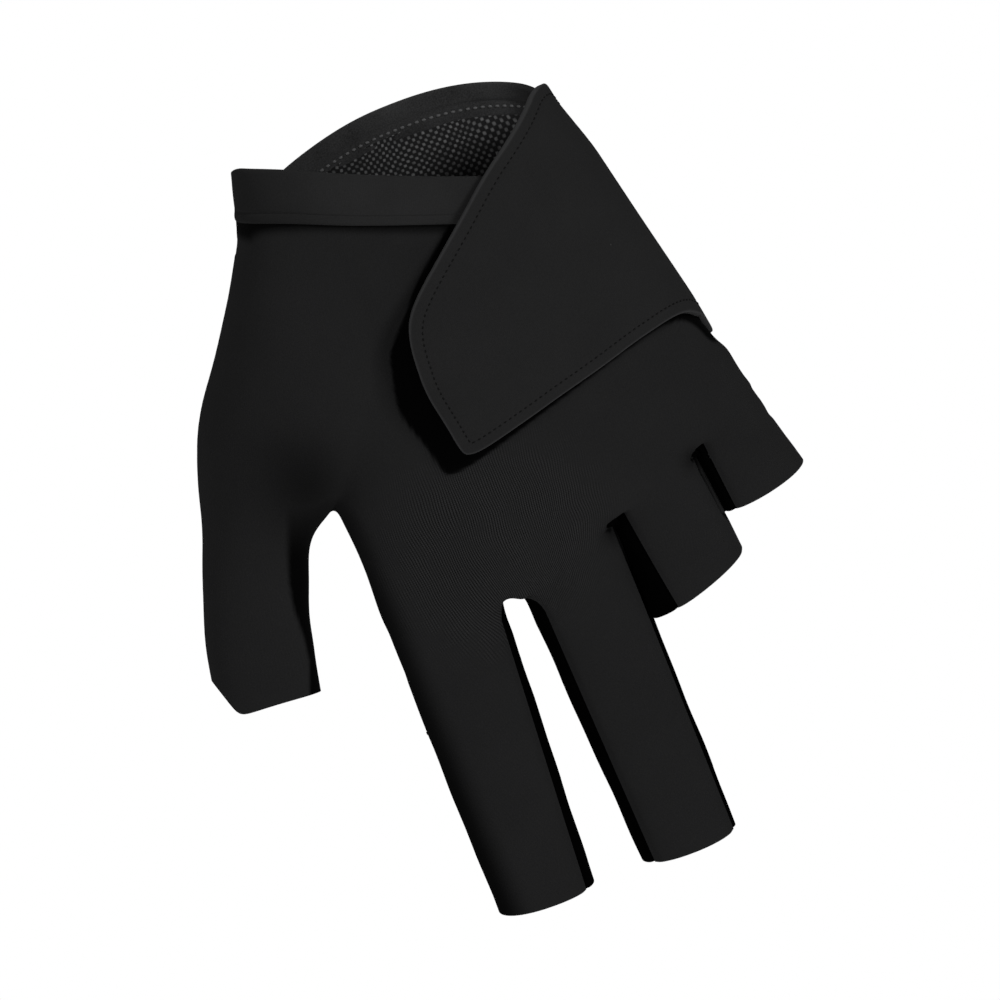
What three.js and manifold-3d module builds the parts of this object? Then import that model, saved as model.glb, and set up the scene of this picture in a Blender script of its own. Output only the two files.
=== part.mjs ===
// A billiard glove for the left hand, in the form that it has when a hand fills it: five open-ended
// fingers, a wrist with a folded cuff, and a wide closure strap that folds over the back of the hand.
// Millimetres. +Z points from the fingers up to the wrist, +X to the little finger's side and +Y to the
// palm. The origin is the middle of the wrist opening, where the hand goes in.
import * as THREE from "three";
import { mergeVertices } from "three/addons/utils/BufferGeometryUtils.js";
import Module from "manifold-3d";

// Driving dimensions of the hand that fills the glove.
const PALM_BREADTH = 90;
const WRIST_DEPTH = 41;
const BODY_LENGTH = 97; // from the origin to the crotches, at the middle of the palm
const CROTCH_RISE = 0.306; // how fast the crotches climb towards the little finger
const PALM_MIDDLE = 10; // where the crotch line is BODY_LENGTH below the origin
const GLOVE_LENGTH = 171; // from the origin to the middle finger's end
const FINGER_BREADTH = 20.4;
const FINGER_DEPTH = 18;
const FINGER_ROOT = 16; // how far a finger reaches up into the body
const THUMB_DEPTH = 21;
const THUMB_BREADTH = 23.4;
const THUMB_BEVEL_RISE = 13.5; // the slanted outer corner of the thumb's open end, along the thumb
const THUMB_BEVEL_BREADTH = 5; // and across it
const FINGER_CURL = 9; // how far the long fingers' ends lean to the palm side
const THUMB_DROP = 13; // how far the thumb's outer side lies to the palm side
const LITTLE_DROP = 4; // how far the little finger's side lies to the palm side

// Cloth thicknesses and the clearance between pieces.
const WALL = 1.2;
const CUFF_EXTRA = 0.5; // how much thicker than WALL the folded cuff and hem are, on the outside
const STRAP_WALL = 1.6;
const PATCH_WALL = 1.0;
const GAP = 0.3;

// Cuff, hem, gussets and strap.
const CUFF_WIDTH = 10.2;
const HEM_WIDTH = 8;
const BACK_RIM_RISE = 10.5; // where the line of the cuff's edge meets the wrist's thumb side
const BACK_RIM_FALL = 0.46; // how fast that edge falls towards the little finger
const BACK_RIM_CORNER = 6; // how far the edge's thumb-side corner is rounded down
const PALM_RIM_DROP = 0.5; // the palm's rim below the origin, at its middle
const PALM_RIM_SAG = 6.5; // how much lower it is at the wrist's two sides
const GUSSET_CROTCH = 9; // a gusset's width round the crotch
const GUSSET_END = 16.4; // and the most that it may have at the fingers' open ends
const GUSSET_TAPER = 18; // how far below the crotch it reaches that width
const STRAP_REACH = 62; // across the hand, from the little finger's side to the tip
const STRAP_LENGTH = 76; // along the hand, from the origin to the strap's lowest corner
const STRAP_WRAP = 8; // how far the strap goes on round the side, onto the palm
const STRAP_TIP_LIFT = 5.5;
const PATCH_BREADTH = 22;
const PATCH_HEIGHT = 20;
const PATCH_INSET = 4.5; // from the strap's tip and from its lower edge

// Shares that shape the hand's middle surface, its sections and the strap.
const CURL_FROM = 0.6; // where the fingers' curl starts, a share of BODY_LENGTH
const CURL_POWER = 1.6;
const ROOT_DEPTH = 0.7; // a finger's depth at its root in the body, a share of FINGER_DEPTH
const THUMB_DROP_FROM = 0.36; // shares of PALM_BREADTH from the middle
const THUMB_DROP_TO = 0.86;
const LITTLE_DROP_TO = 0.6;
const BODY_FULLNESS = 2.35; // 2 is an ellipse, more is nearer a rectangle
const TUBE_FULLNESS = 2.15;
const STRAP_ROOT = 0.545; // the strap's root from the middle, a share of PALM_BREADTH
const STRAP_LIFT_FROM = 0.4; // the lift grows from here to the tip, shares of PALM_BREADTH
const STRAP_LIFT_TO = -0.15;
const STRAP_LOW_LIFT = 0.45; // what is left of the lift at the strap's lower edge

// Facets, and how far a cutter or a hollow runs past the cloth that it cuts.
const RING_SIDES = 48;
const TUBE_SIDES = 20;
const TUBE_STEPS = 4;
const PAST = 14;
const FAR = 240;

// The body's sections from above the wrist to the crotches: down is a share of BODY_LENGTH, the two
// sides are shares of PALM_BREADTH, back and palm of WRIST_DEPTH, and slant is the share of CROTCH_RISE.
const BODY_ROWS = [
  { down: -0.16, thumbSide: -0.345, littleSide: 0.345, back: 0.5, palm: 0.51, slant: 0 },
  { down: 0, thumbSide: -0.39, littleSide: 0.36, back: 0.49, palm: 0.5, slant: 0 },
  { down: 0.1, thumbSide: -0.425, littleSide: 0.378, back: 0.48, palm: 0.49, slant: 0 },
  { down: 0.36, thumbSide: -0.44, littleSide: 0.43, back: 0.45, palm: 0.48, slant: 0 },
  { down: 0.62, thumbSide: -0.45, littleSide: 0.483, back: 0.4, palm: 0.42, slant: 0.1 },
  { down: 0.82, thumbSide: -0.447, littleSide: 0.515, back: 0.33, palm: 0.35, slant: 0.5 },
  { down: 0.93, thumbSide: -0.447, littleSide: 0.555, back: 0.26, palm: 0.28, slant: 0.8 },
  { down: 0.98, thumbSide: -0.425, littleSide: 0.56, back: 0.19, palm: 0.2, slant: 0.95 },
  { down: 1, thumbSide: -0.38, littleSide: 0.52, back: 0.1, palm: 0.11, slant: 1 },
];

// The four fingers: across is a share of PALM_BREADTH, tipDown of GLOVE_LENGTH, the breadths are shares
// of FINGER_BREADTH, and tilt is the slope of the open end in degrees.
const FINGERS = [
  { rootAcross: -0.308, tipAcross: -0.346, tipDown: 0.994, root: 1.23, tip: 1.02, tilt: -2 },
  { rootAcross: 0.004, tipAcross: 0.014, tipDown: 1, root: 1.16, tip: 1, tilt: 0 },
  { rootAcross: 0.252, tipAcross: 0.274, tipDown: 0.688, root: 0.93, tip: 1.13, tilt: 15 },
  { rootAcross: 0.45, tipAcross: 0.493, tipDown: 0.604, root: 0.62, tip: 0.94, tilt: 9.5 },
];

// Where each gusset stops on the sides of its two fingers, as shares of their half breadths.
const GUSSETS = [
  { node: "gusset_index_middle", first: 0.78, second: 0.78 },
  { node: "gusset_middle_ring", first: 0.93, second: 0.42 },
  { node: "gusset_ring_little", first: 0.93, second: 0.75 },
];

// The thumb from inside the body to its open end: across is a share of PALM_BREADTH, down of
// BODY_LENGTH, breadth of THUMB_BREADTH and depth of THUMB_DEPTH. lean is its slope out of the hand.
const THUMB_ROWS = [
  { across: -0.155, down: -0.02, breadth: 1.5, depth: 1.7, lean: 22 },
  { across: -0.236, down: 0.182, breadth: 1.6, depth: 1.7, lean: 24 },
  { across: -0.336, down: 0.384, breadth: 1.76, depth: 1.7, lean: 29 },
  { across: -0.51, down: 0.577, breadth: 1.5, depth: 1.42, lean: 24 },
  { across: -0.644, down: 0.74, breadth: 0.98, depth: 1.06, lean: 19 },
  { across: -0.747, down: 1, breadth: 0.96, depth: 1, lean: 16 },
  { across: -0.772, down: 1.115, breadth: 0.96, depth: 0.96, lean: 11 },
];

// The strap's outline from its top at the wrist, round its tip and back to the tuck at its root: across
// is a share of STRAP_REACH from the little finger's side, down a share of STRAP_LENGTH.
const STRAP_EDGE = [
  { across: -0.3, down: 0.12 },
  { across: 0.24, down: 0.105 },
  { across: 0.28, down: 0.045 },
  { across: 0.58, down: 0.155 },
  { across: 0.91, down: 0.36 },
  { across: 0.98, down: 0.42 },
  { across: 1, down: 0.49 },
  { across: 1, down: 0.64 },
  { across: 0.955, down: 0.84 },
  { across: 0.92, down: 0.868 },
  { across: 0.88, down: 0.868 },
  { across: 0.29, down: 0.793 },
  { across: 0.15, down: 0.775 },
  { across: 0.09, down: 0.81 },
  { across: 0.03, down: 0.97 },
  { across: 0, down: 1 },
  { across: -0.3, down: 1 },
];

const wasm = await Module();
wasm.setup();

// A closed geometry as a solid that can be joined and cut.
function solid(geometry) {
  geometry.deleteAttribute("normal");
  geometry.deleteAttribute("uv");
  const merged = mergeVertices(geometry, 1e-4);
  const build = (triVerts) => {
    const vertProperties = merged.attributes.position.array;
    return new wasm.Manifold(new wasm.Mesh({ numProp: 3, vertProperties, triVerts }));
  };
  const faces = new Uint32Array(merged.index.array);
  const made = build(faces);
  return made.volume() > 0 ? made : build(faces.reverse());
}

function clamp01(value) {
  return THREE.MathUtils.clamp(value, 0, 1);
}

// The height of the hand's middle surface: the fingers curl, and both sides lie to the palm side.
function middle(x, z) {
  const start = CURL_FROM * BODY_LENGTH;
  const curl = FINGER_CURL * Math.pow(clamp01((-z - start) / (GLOVE_LENGTH - start)), CURL_POWER);
  const out = Math.abs(x) / PALM_BREADTH;
  const thumb = THUMB_DROP * THREE.MathUtils.smoothstep(out, THUMB_DROP_FROM, THUMB_DROP_TO);
  const little = LITTLE_DROP * Math.pow(clamp01(out / LITTLE_DROP_TO), 2);
  return x < 0 ? Math.max(curl, thumb) : curl + little;
}

// A closed solid through rings of equally many points, with a flat fan at each end.
function loft(rings) {
  const sides = rings[0].length;
  const points = rings.flat();
  const faces = [];
  const next = (i) => (i + 1) % sides;
  for (let r = 0; r + 1 < rings.length; r++) {
    for (let i = 0; i < sides; i++) {
      const a = r * sides + i;
      const b = r * sides + next(i);
      faces.push(a, b, b + sides, a, b + sides, a + sides);
    }
  }
  for (const end of [0, rings.length - 1]) {
    const hub = points.length;
    const sum = rings[end].reduce((total, p) => total.add(p), new THREE.Vector3());
    points.push(sum.divideScalar(sides));
    for (let i = 0; i < sides; i++) {
      const a = end * sides + i;
      const b = end * sides + next(i);
      faces.push(...(end === 0 ? [hub, b, a] : [hub, a, b]));
    }
  }
  const geometry = new THREE.BufferGeometry().setFromPoints(points).setIndex(faces);
  return solid(geometry);
}

// One point of a section that is rounder than a rectangle and fuller than an ellipse.
function sectionPoint(turn, breadth, back, palm, fullness) {
  const round = (value) => Math.sign(value) * Math.pow(Math.abs(value), 2 / fullness);
  const depth = turn > Math.PI ? back : palm;
  return { across: breadth * round(Math.cos(turn)), out: depth * round(Math.sin(turn)) };
}

function turns(sides) {
  return Array.from({ length: sides }, (_, i) => ((i + 0.5) / sides) * 2 * Math.PI);
}

// The hand's body, grown or shrunk by an offset. Its lower end stays offset above the crotch line, and
// lift raises its back by a height that may vary over the hand.
function body(offset, lift = () => 0) {
  const rings = BODY_ROWS.map((row) => {
    const left = row.thumbSide * PALM_BREADTH - offset;
    const right = row.littleSide * PALM_BREADTH + offset;
    const end = row === BODY_ROWS.at(-1) ? offset : 0;
    return turns(RING_SIDES).map((turn) => {
      const back = row.back * WRIST_DEPTH + offset;
      const palm = row.palm * WRIST_DEPTH + offset;
      const p = sectionPoint(turn, (right - left) / 2, back, palm, BODY_FULLNESS);
      const x = (left + right) / 2 + p.across;
      const z = -row.down * BODY_LENGTH - end + row.slant * CROTCH_RISE * (x - PALM_MIDDLE);
      const raised = p.out < 0 ? lift(x, z) : 0;
      return new THREE.Vector3(x, middle(x, z) + p.out - raised, z);
    });
  });
  return loft(rings.reverse());
}

// One ring of a finger or thumb, square to the hand's middle surface and sloped by an angle in degrees.
function tubeRing(x, z, breadth, depth, slope) {
  const tilt = THREE.MathUtils.degToRad(slope);
  return turns(TUBE_SIDES).map((turn) => {
    const p = sectionPoint(turn, breadth / 2, depth / 2, depth / 2, TUBE_FULLNESS);
    const px = x + p.across * Math.cos(tilt);
    const pz = z + p.across * Math.sin(tilt);
    return new THREE.Vector3(px, middle(px, pz) + p.out, pz);
  });
}

function crotchHeight(x) {
  return -BODY_LENGTH + CROTCH_RISE * (x - PALM_MIDDLE);
}

function fingerRoot(finger) {
  const x = finger.rootAcross * PALM_BREADTH;
  return new THREE.Vector2(x, crotchHeight(x) + FINGER_ROOT);
}

function fingerTip(finger) {
  return new THREE.Vector2(finger.tipAcross * PALM_BREADTH, -finger.tipDown * GLOVE_LENGTH);
}

// A finger, grown or shrunk by an offset and run past its open end.
function finger(row, offset, past) {
  const root = fingerRoot(row);
  const tip = fingerTip(row);
  const length = root.distanceTo(tip);
  const rings = [];
  for (let i = 0; i <= TUBE_STEPS; i++) {
    const share = (i / TUBE_STEPS) * (1 + past / length);
    const fill = THREE.MathUtils.lerp(ROOT_DEPTH, 1, clamp01((share * length) / FINGER_ROOT));
    const at = root.clone().lerp(tip, share);
    const breadth = FINGER_BREADTH * THREE.MathUtils.lerp(row.root, row.tip, share) + 2 * offset;
    const depth = FINGER_DEPTH * fill + 2 * offset;
    rings.push(tubeRing(at.x, at.y, breadth, depth, row.tilt * clamp01(share)));
  }
  return loft(rings);
}

// The thumb, from its broad root in the body to past its open end.
function thumb(offset) {
  const rings = THUMB_ROWS.map((row) => {
    const breadth = row.breadth * THUMB_BREADTH + 2 * offset;
    const depth = row.depth * THUMB_DEPTH + 2 * offset;
    return tubeRing(row.across * PALM_BREADTH, -row.down * BODY_LENGTH, breadth, depth, -row.lean);
  });
  return loft(rings);
}

// A prism through the whole glove from an outline in the front view.
function frontPrism(points) {
  const shape = new THREE.Shape(points.map(([x, z]) => new THREE.Vector2(x, z)));
  const geometry = new THREE.ExtrudeGeometry(shape, { depth: 2 * FAR, bevelEnabled: false });
  geometry.rotateX(Math.PI / 2);
  geometry.translate(0, FAR, 0);
  return solid(geometry);
}

// The space between two surfaces that lie at given distances from the hand's middle surface. Each
// distance is a length, or a function of the place.
function layer(low, high) {
  const columns = 22;
  const rows = 18;
  const reach = 1.2 * PALM_BREADTH;
  const top = 2 * PAST;
  const bottom = -GLOVE_LENGTH - 2 * PAST;
  const at = (distance, x, z) => (typeof distance === "function" ? distance(x, z) : distance);
  const ring = (row) => {
    const z = THREE.MathUtils.lerp(top, bottom, row / rows);
    const near = [];
    const far = [];
    for (let i = 0; i <= columns; i++) {
      const x = THREE.MathUtils.lerp(-reach, reach, i / columns);
      near.push(new THREE.Vector3(x, middle(x, z) + at(low, x, z), z));
      far.unshift(new THREE.Vector3(x, middle(x, z) + at(high, x, z), z));
    }
    return [...near, ...far];
  };
  return layerSolid(Array.from({ length: rows + 1 }, (_, i) => ring(i)), columns);
}

// The solid of a layer: side faces round its rings, and strips of quads over its first and last ring.
function layerSolid(rings, columns) {
  const sides = rings[0].length;
  const faces = [];
  for (let r = 0; r + 1 < rings.length; r++) {
    for (let i = 0; i < sides; i++) {
      const a = r * sides + i;
      const b = r * sides + ((i + 1) % sides);
      faces.push(a, b + sides, b, a, a + sides, b + sides);
    }
  }
  const last = (rings.length - 1) * sides;
  for (let i = 0; i < columns; i++) {
    const over = sides - 1 - i;
    faces.push(i, i + 1, over, i + 1, over - 1, over);
    faces.push(last + i, last + over, last + i + 1, last + i + 1, last + over, last + over - 1);
  }
  return solid(new THREE.BufferGeometry().setFromPoints(rings.flat()).setIndex(faces));
}

function union(solids) {
  return solids.reduce((whole, part) => whole.add(part));
}

// The slanted corner that the thumb's open end lacks, and what lies past that end.
function thumbEndCut() {
  const end = THUMB_ROWS.at(-1);
  const slope = THREE.MathUtils.degToRad(-end.lean);
  const across = new THREE.Vector2(Math.cos(slope), Math.sin(slope));
  const along = new THREE.Vector2(across.y, -across.x);
  const middleOfEnd = new THREE.Vector2(end.across * PALM_BREADTH, -end.down * BODY_LENGTH);
  const half = (end.breadth * THUMB_BREADTH) / 2;
  const place = (u, v) => {
    const p = middleOfEnd.clone().addScaledVector(across, u).addScaledVector(along, v);
    return [p.x, p.y];
  };
  const outer = -half - PAST;
  const corner = -half + THUMB_BEVEL_BREADTH;
  const rise = THUMB_BEVEL_RISE * (1 + PAST / THUMB_BEVEL_BREADTH);
  return frontPrism([place(outer, -rise), place(outer, PAST), place(corner, PAST), place(corner, 0)]);
}

// The hand, grown or shrunk by an offset, with its fingers run past their ends and its back lifted.
function hand(offset, past, lift) {
  const fingers = FINGERS.map((row) => finger(row, offset, past));
  return union([body(offset, lift), thumb(offset), ...fingers]);
}

// The cloth all over the hand, open at the wrist and at the end of each finger.
function cloth() {
  return hand(0, 0).subtract(hand(-WALL, PAST)).subtract(thumbRun()).subtract(thumbEndCut());
}

// The thumb's hollow past its open end.
function thumbRun() {
  const end = THUMB_ROWS.at(-1);
  const breadth = end.breadth * THUMB_BREADTH - 2 * WALL;
  const depth = end.depth * THUMB_DEPTH - 2 * WALL;
  const slope = THREE.MathUtils.degToRad(end.lean);
  const x = end.across * PALM_BREADTH;
  const z = -end.down * BODY_LENGTH;
  const ring = (along) => {
    const px = x - along * Math.sin(slope);
    const pz = z - along * Math.cos(slope);
    return tubeRing(px, pz, breadth, depth, -end.lean);
  };
  return loft([ring(-WALL), ring(PAST)]);
}

// The space that one gusset fills: round the crotch, from the side of one finger to the next.
function gussetSpace(index, grow) {
  const { first, second } = GUSSETS[index];
  const bottom = Math.min(fingerTip(FINGERS[index]).y, fingerTip(FINGERS[index + 1]).y) - PAST;
  const side = (row, reach) => {
    const root = fingerRoot(row);
    const tip = fingerTip(row);
    const edge = (z) => {
      const share = (z - root.y) / (tip.y - root.y);
      const half = (FINGER_BREADTH * THREE.MathUtils.lerp(row.root, row.tip, share)) / 2;
      return [THREE.MathUtils.lerp(root.x, tip.x, share) + reach * half - Math.sign(reach) * grow, z];
    };
    return [edge(root.y), edge(bottom)];
  };
  const outline = [...side(FINGERS[index], first).reverse(), ...side(FINGERS[index + 1], -second)];
  const half = (x, z) => {
    const share = clamp01((crotchHeight(x) - z) / GUSSET_TAPER);
    return THREE.MathUtils.lerp(GUSSET_CROTCH, GUSSET_END, share) / 2 + grow;
  };
  return layer((x, z) => -half(x, z), half).intersect(frontPrism(outline));
}

// The front view below the cuff's upper edge, lowered by a distance.
function belowBackRim(drop) {
  const side = BODY_ROWS[1].thumbSide * PALM_BREADTH;
  const round = 0.12 * PALM_BREADTH;
  const steps = 5;
  const height = (x) => {
    const corner = BACK_RIM_CORNER * Math.pow(1 - clamp01((x - side) / round), 2);
    return BACK_RIM_RISE - BACK_RIM_FALL * Math.max(x - side, 0) - corner - drop;
  };
  const points = [
    [-FAR, height(side)],
    [-FAR, -FAR],
    [FAR, -FAR],
    [FAR, height(FAR)],
  ];
  for (let i = steps; i >= 0; i--) {
    const x = side + (i / steps) * round;
    points.push([x, height(x)]);
  }
  return frontPrism(points);
}

// The front view below the palm's upper edge, lowered by a distance.
function belowPalmRim(drop) {
  const steps = 10;
  const half = 0.38 * PALM_BREADTH;
  const points = [
    [-FAR, -FAR],
    [FAR, -FAR],
    [FAR, -PALM_RIM_DROP - PALM_RIM_SAG - drop],
  ];
  for (let i = steps; i >= -steps; i--) {
    const share = i / steps;
    points.push([share * half, -PALM_RIM_DROP - PALM_RIM_SAG * Math.pow(Math.abs(share), 2.4) - drop]);
  }
  points.push([-FAR, -PALM_RIM_DROP - PALM_RIM_SAG - drop]);
  return frontPrism(points);
}

// How far the strap stands off the back: nothing at its root, and the most at its upper tip corner.
function strapLift(x, z) {
  const toTip = 1 - THREE.MathUtils.smoothstep(x / PALM_BREADTH, STRAP_LIFT_TO, STRAP_LIFT_FROM);
  const low = THREE.MathUtils.smoothstep(-z / STRAP_LENGTH, 0.5, 0.9);
  return STRAP_TIP_LIFT * toTip * THREE.MathUtils.lerp(1, STRAP_LOW_LIFT, low);
}

// The closure strap: a curved sheet over the back that runs on round the little finger's side.
function strap() {
  const root = STRAP_ROOT * PALM_BREADTH;
  const outline = STRAP_EDGE.map((row) => [root - row.across * STRAP_REACH, -row.down * STRAP_LENGTH]);
  const seat = CUFF_EXTRA + GAP;
  const sheet = hand(seat + STRAP_WALL, 0, strapLift).subtract(hand(seat, 0, strapLift));
  return sheet.intersect(frontPrism(outline)).intersect(layer(-FAR, STRAP_WRAP));
}

// The hook patch on the back of the hand, under the strap's tip.
function hookPatch() {
  const tip = Math.max(...STRAP_EDGE.map((row) => (row.across > 0.5 ? row.down : 0)));
  const left = STRAP_ROOT * PALM_BREADTH - STRAP_REACH + PATCH_INSET;
  const low = -tip * STRAP_LENGTH + PATCH_INSET;
  const outline = frontPrism([
    [left, low],
    [left + PATCH_BREADTH, low],
    [left + PATCH_BREADTH, low + PATCH_HEIGHT],
    [left, low + PATCH_HEIGHT],
  ]);
  const sheet = hand(GAP + PATCH_WALL, 0).subtract(hand(GAP, 0));
  return sheet.intersect(outline).intersect(layer(-FAR, 0));
}

// The cloth cut into its panels.
function panels() {
  const whole = cloth();
  const cuts = union(GUSSETS.map((row, i) => gussetSpace(i, GAP)));
  const backHalf = layer(-FAR, -GAP / 2);
  const palmHalf = layer(GAP / 2, FAR);
  const folded = hand(CUFF_EXTRA, 0).subtract(hand(-WALL, PAST));
  const gussets = GUSSETS.map((row, i) => [row.node, whole.intersect(gussetSpace(i, 0))]);
  return {
    ...Object.fromEntries(gussets),
    back_panel: whole.intersect(backHalf).subtract(cuts).intersect(belowBackRim(CUFF_WIDTH + GAP)),
    palm_panel: whole.intersect(palmHalf).subtract(cuts).intersect(belowPalmRim(HEM_WIDTH + GAP)),
    cuff_band: folded.intersect(backHalf).intersect(belowBackRim(0)).subtract(belowBackRim(CUFF_WIDTH)),
    palm_hem: folded.intersect(palmHalf).intersect(belowPalmRim(0)).subtract(belowPalmRim(HEM_WIDTH)),
  };
}

const FINISHES = {
  knit: { color: 0x202022, roughness: 0.82 },
  mesh: { color: 0x1b1b1d, roughness: 0.9 },
  gusset: { color: 0x101011, roughness: 0.92 },
  band: { color: 0x232325, roughness: 0.78 },
  strap: { color: 0x1e1e20, roughness: 0.8 },
  hook: { color: 0x161617, roughness: 0.95 },
};

const glove = new THREE.Group();

function addPiece(name, piece, finish) {
  const made = piece.getMesh();
  const geometry = new THREE.BufferGeometry();
  geometry.setAttribute("position", new THREE.BufferAttribute(made.vertProperties, 3));
  geometry.setIndex(new THREE.BufferAttribute(made.triVerts, 1));
  geometry.computeVertexNormals();
  const material = new THREE.MeshStandardMaterial({ metalness: 0, ...FINISHES[finish] });
  const mesh = new THREE.Mesh(geometry, material);
  mesh.name = name;
  glove.add(mesh);
}

const cut = panels();
addPiece("back_panel", cut.back_panel, "knit");
addPiece("palm_panel", cut.palm_panel, "mesh");
GUSSETS.forEach((row) => addPiece(row.node, cut[row.node], "gusset"));
addPiece("cuff_band", cut.cuff_band, "band");
addPiece("palm_hem", cut.palm_hem, "band");
addPiece("strap", strap(), "strap");
addPiece("hook_patch", hookPatch(), "hook");

export default glove;
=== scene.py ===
"""A billiard glove for the left hand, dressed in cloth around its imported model.

The glove has the form that a hand gives it: five open-ended fingers, a wrist with a folded cuff at the
back and a folded hem at the palm, and a wide closure strap over the back. Metres; +Z points up to the
wrist, +X to the little finger's side and +Y to the palm.
"""

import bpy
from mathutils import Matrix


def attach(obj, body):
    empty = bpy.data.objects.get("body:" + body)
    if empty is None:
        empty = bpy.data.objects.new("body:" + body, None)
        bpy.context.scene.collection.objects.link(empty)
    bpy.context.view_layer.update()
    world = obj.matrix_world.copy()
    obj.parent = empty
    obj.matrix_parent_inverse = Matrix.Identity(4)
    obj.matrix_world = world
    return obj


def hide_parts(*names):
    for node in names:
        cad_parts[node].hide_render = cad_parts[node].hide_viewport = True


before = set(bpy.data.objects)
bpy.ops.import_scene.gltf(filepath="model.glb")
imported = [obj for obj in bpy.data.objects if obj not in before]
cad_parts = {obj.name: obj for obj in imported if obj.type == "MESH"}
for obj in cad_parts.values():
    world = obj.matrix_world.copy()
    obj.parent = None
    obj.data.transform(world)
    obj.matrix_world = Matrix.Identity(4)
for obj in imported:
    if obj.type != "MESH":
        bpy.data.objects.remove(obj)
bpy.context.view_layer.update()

import logging
import math
from dataclasses import dataclass, field
from enum import Enum
from typing import Callable, NamedTuple, Sequence

import bmesh
import bpy
import numpy as np
from mathutils import Matrix, Vector, geometry

log = logging.getLogger("billiard_glove")

MM = 0.001
CLOTH_MAP = "cloth"  # the UV map that holds each piece laid flat, in millimetres
Array = np.ndarray
Field = Callable[[Array], Array]


class BodyRow(NamedTuple):
    """One section of the hand's body, as shares of its named sizes."""

    down: float
    thumb_side: float
    little_side: float
    back: float
    palm: float
    slant: float


BODY_ROWS = (
    BodyRow(-0.16, -0.345, 0.345, 0.5, 0.51, 0),
    BodyRow(0, -0.39, 0.36, 0.49, 0.5, 0),
    BodyRow(0.1, -0.425, 0.378, 0.48, 0.49, 0),
    BodyRow(0.36, -0.44, 0.43, 0.45, 0.48, 0),
    BodyRow(0.62, -0.45, 0.483, 0.4, 0.42, 0.1),
    BodyRow(0.82, -0.447, 0.515, 0.33, 0.35, 0.5),
    BodyRow(0.93, -0.447, 0.555, 0.27, 0.28, 0.8),
    BodyRow(0.98, -0.425, 0.56, 0.24, 0.24, 0.95),
    BodyRow(1, -0.38, 0.52, 0.21, 0.2, 1),
)


class FingerRow(NamedTuple):
    """One finger, as shares of the hand's sizes; tilt is its open end's slope in degrees.

    In millimetres, spread is how far it is held aside while the surface is made, so that it stays clear of
    its neighbour, and left and right are how far its sides are then drawn out.
    """

    root_across: float
    tip_across: float
    tip_down: float
    root: float
    tip: float
    tilt: float
    spread: float
    left: float
    right: float


FINGERS = (
    FingerRow(-0.308, -0.346, 0.9985, 1.23, 1.02, -3.9, 0, 0.2, 0.5),
    FingerRow(0.004, 0.014, 1.0044, 1.16, 1, -1.9, 0, 0.35, 0.85),
    FingerRow(0.252, 0.274, 0.688, 0.93, 1.13, 16, 1.4, 2.4, 0.25),
    FingerRow(0.45, 0.493, 0.606, 0.62, 0.94, 7.5, 3.8, 2.4, 0.45),
)


class Push(NamedTuple):
    """A soft push of the cloth in the front view, in millimetres: where, how wide and how far."""

    x: float
    z: float
    radius: float
    right: float
    up: float


PUSHES = (
    Push(-49, -86, 8, 1.5, 0),
    Push(-74, -84, 22, 0.5, 0),
    Push(-38, -10, 20, 0.4, 0),
    Push(51, -80, 10, 1.0, 0),
    Push(46.5, -68, 7, 1.5, 0),
    Push(51.5, -81.5, 4.5, -1.3, 0),
    Push(-12.3, -104, 5, 0, -0.5),
    Push(-14.1, -105.4, 2.4, 0, 2.4),
    Push(-11.2, -103.4, 2.5, 0, -0.8),
    Push(-41, -73, 4, 0, -0.7),
)


class Fold(NamedTuple):
    """A round place of the front view, in millimetres."""

    x: float
    z: float
    radius: float

    def away(self, x: Array, z: Array) -> Array:
        """How far points lie from its middle, in radii."""
        return np.hypot(x - self.x * MM, z - self.z * MM) / (self.radius * MM)


CROTCHES = (Fold(-12.8, -104.5, 9),)


class ThumbRow(NamedTuple):
    """One section of the thumb, as shares of the hand's sizes; lean is its slope in degrees."""

    across: float
    down: float
    breadth: float
    depth: float
    lean: float


THUMB_ROWS = (
    ThumbRow(-0.155, -0.02, 1.5, 1.7, 22),
    ThumbRow(-0.236, 0.182, 1.6, 1.7, 24),
    ThumbRow(-0.336, 0.384, 1.76, 1.7, 29),
    ThumbRow(-0.51, 0.577, 1.5, 1.42, 24),
    ThumbRow(-0.644, 0.74, 0.98, 1.06, 19),
    ThumbRow(-0.747, 1, 0.96, 1, 16),
    ThumbRow(-0.772, 1.115, 0.96, 0.96, 11),
)


class GussetRow(NamedTuple):
    """Where a gusset stops on the sides of its two fingers, as shares of their half breadths."""

    node: str
    first: float
    first_end: float
    second: float
    second_end: float
    length: float  # of its way from the crotch to the end, in millimetres
    crotch: float  # its breadth at the crotch, in millimetres
    top: float  # how far above the crotch it begins, in millimetres
    slope: float


GUSSETS = (
    GussetRow("gusset_index_middle", 0.94, 0.85, 0.79, 0.83, 66, 4, 3, 3.6),
    GussetRow("gusset_middle_ring", 1.0, 1.0, 0.84, 0.6, 24, 15.5, 6, 1.6),
    GussetRow("gusset_ring_little", 1.0, 1.01, 0.84, 0.76, 18, 13.5, 6, 1.6),
)


class EdgePoint(NamedTuple):
    """One corner of the strap's outline, as shares of its reach and its length."""

    across: float
    down: float


STRAP_EDGE = (
    EdgePoint(-0.3, 0.12),
    EdgePoint(0.24, 0.105),
    EdgePoint(0.285, 0.008),
    EdgePoint(0.58, 0.155),
    EdgePoint(0.895, 0.363),
    EdgePoint(0.962, 0.424),
    EdgePoint(0.99, 0.495),
    EdgePoint(1.003, 0.64),
    EdgePoint(0.972, 0.85),
    EdgePoint(0.957, 0.8635),
    EdgePoint(0.915, 0.8675),
    EdgePoint(0.6, 0.8125),
    EdgePoint(0.29, 0.773),
    EdgePoint(0.15, 0.772),
    EdgePoint(0.09, 0.81),
    EdgePoint(0.045, 0.92),
    EdgePoint(-0.3, 0.93),
)


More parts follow.
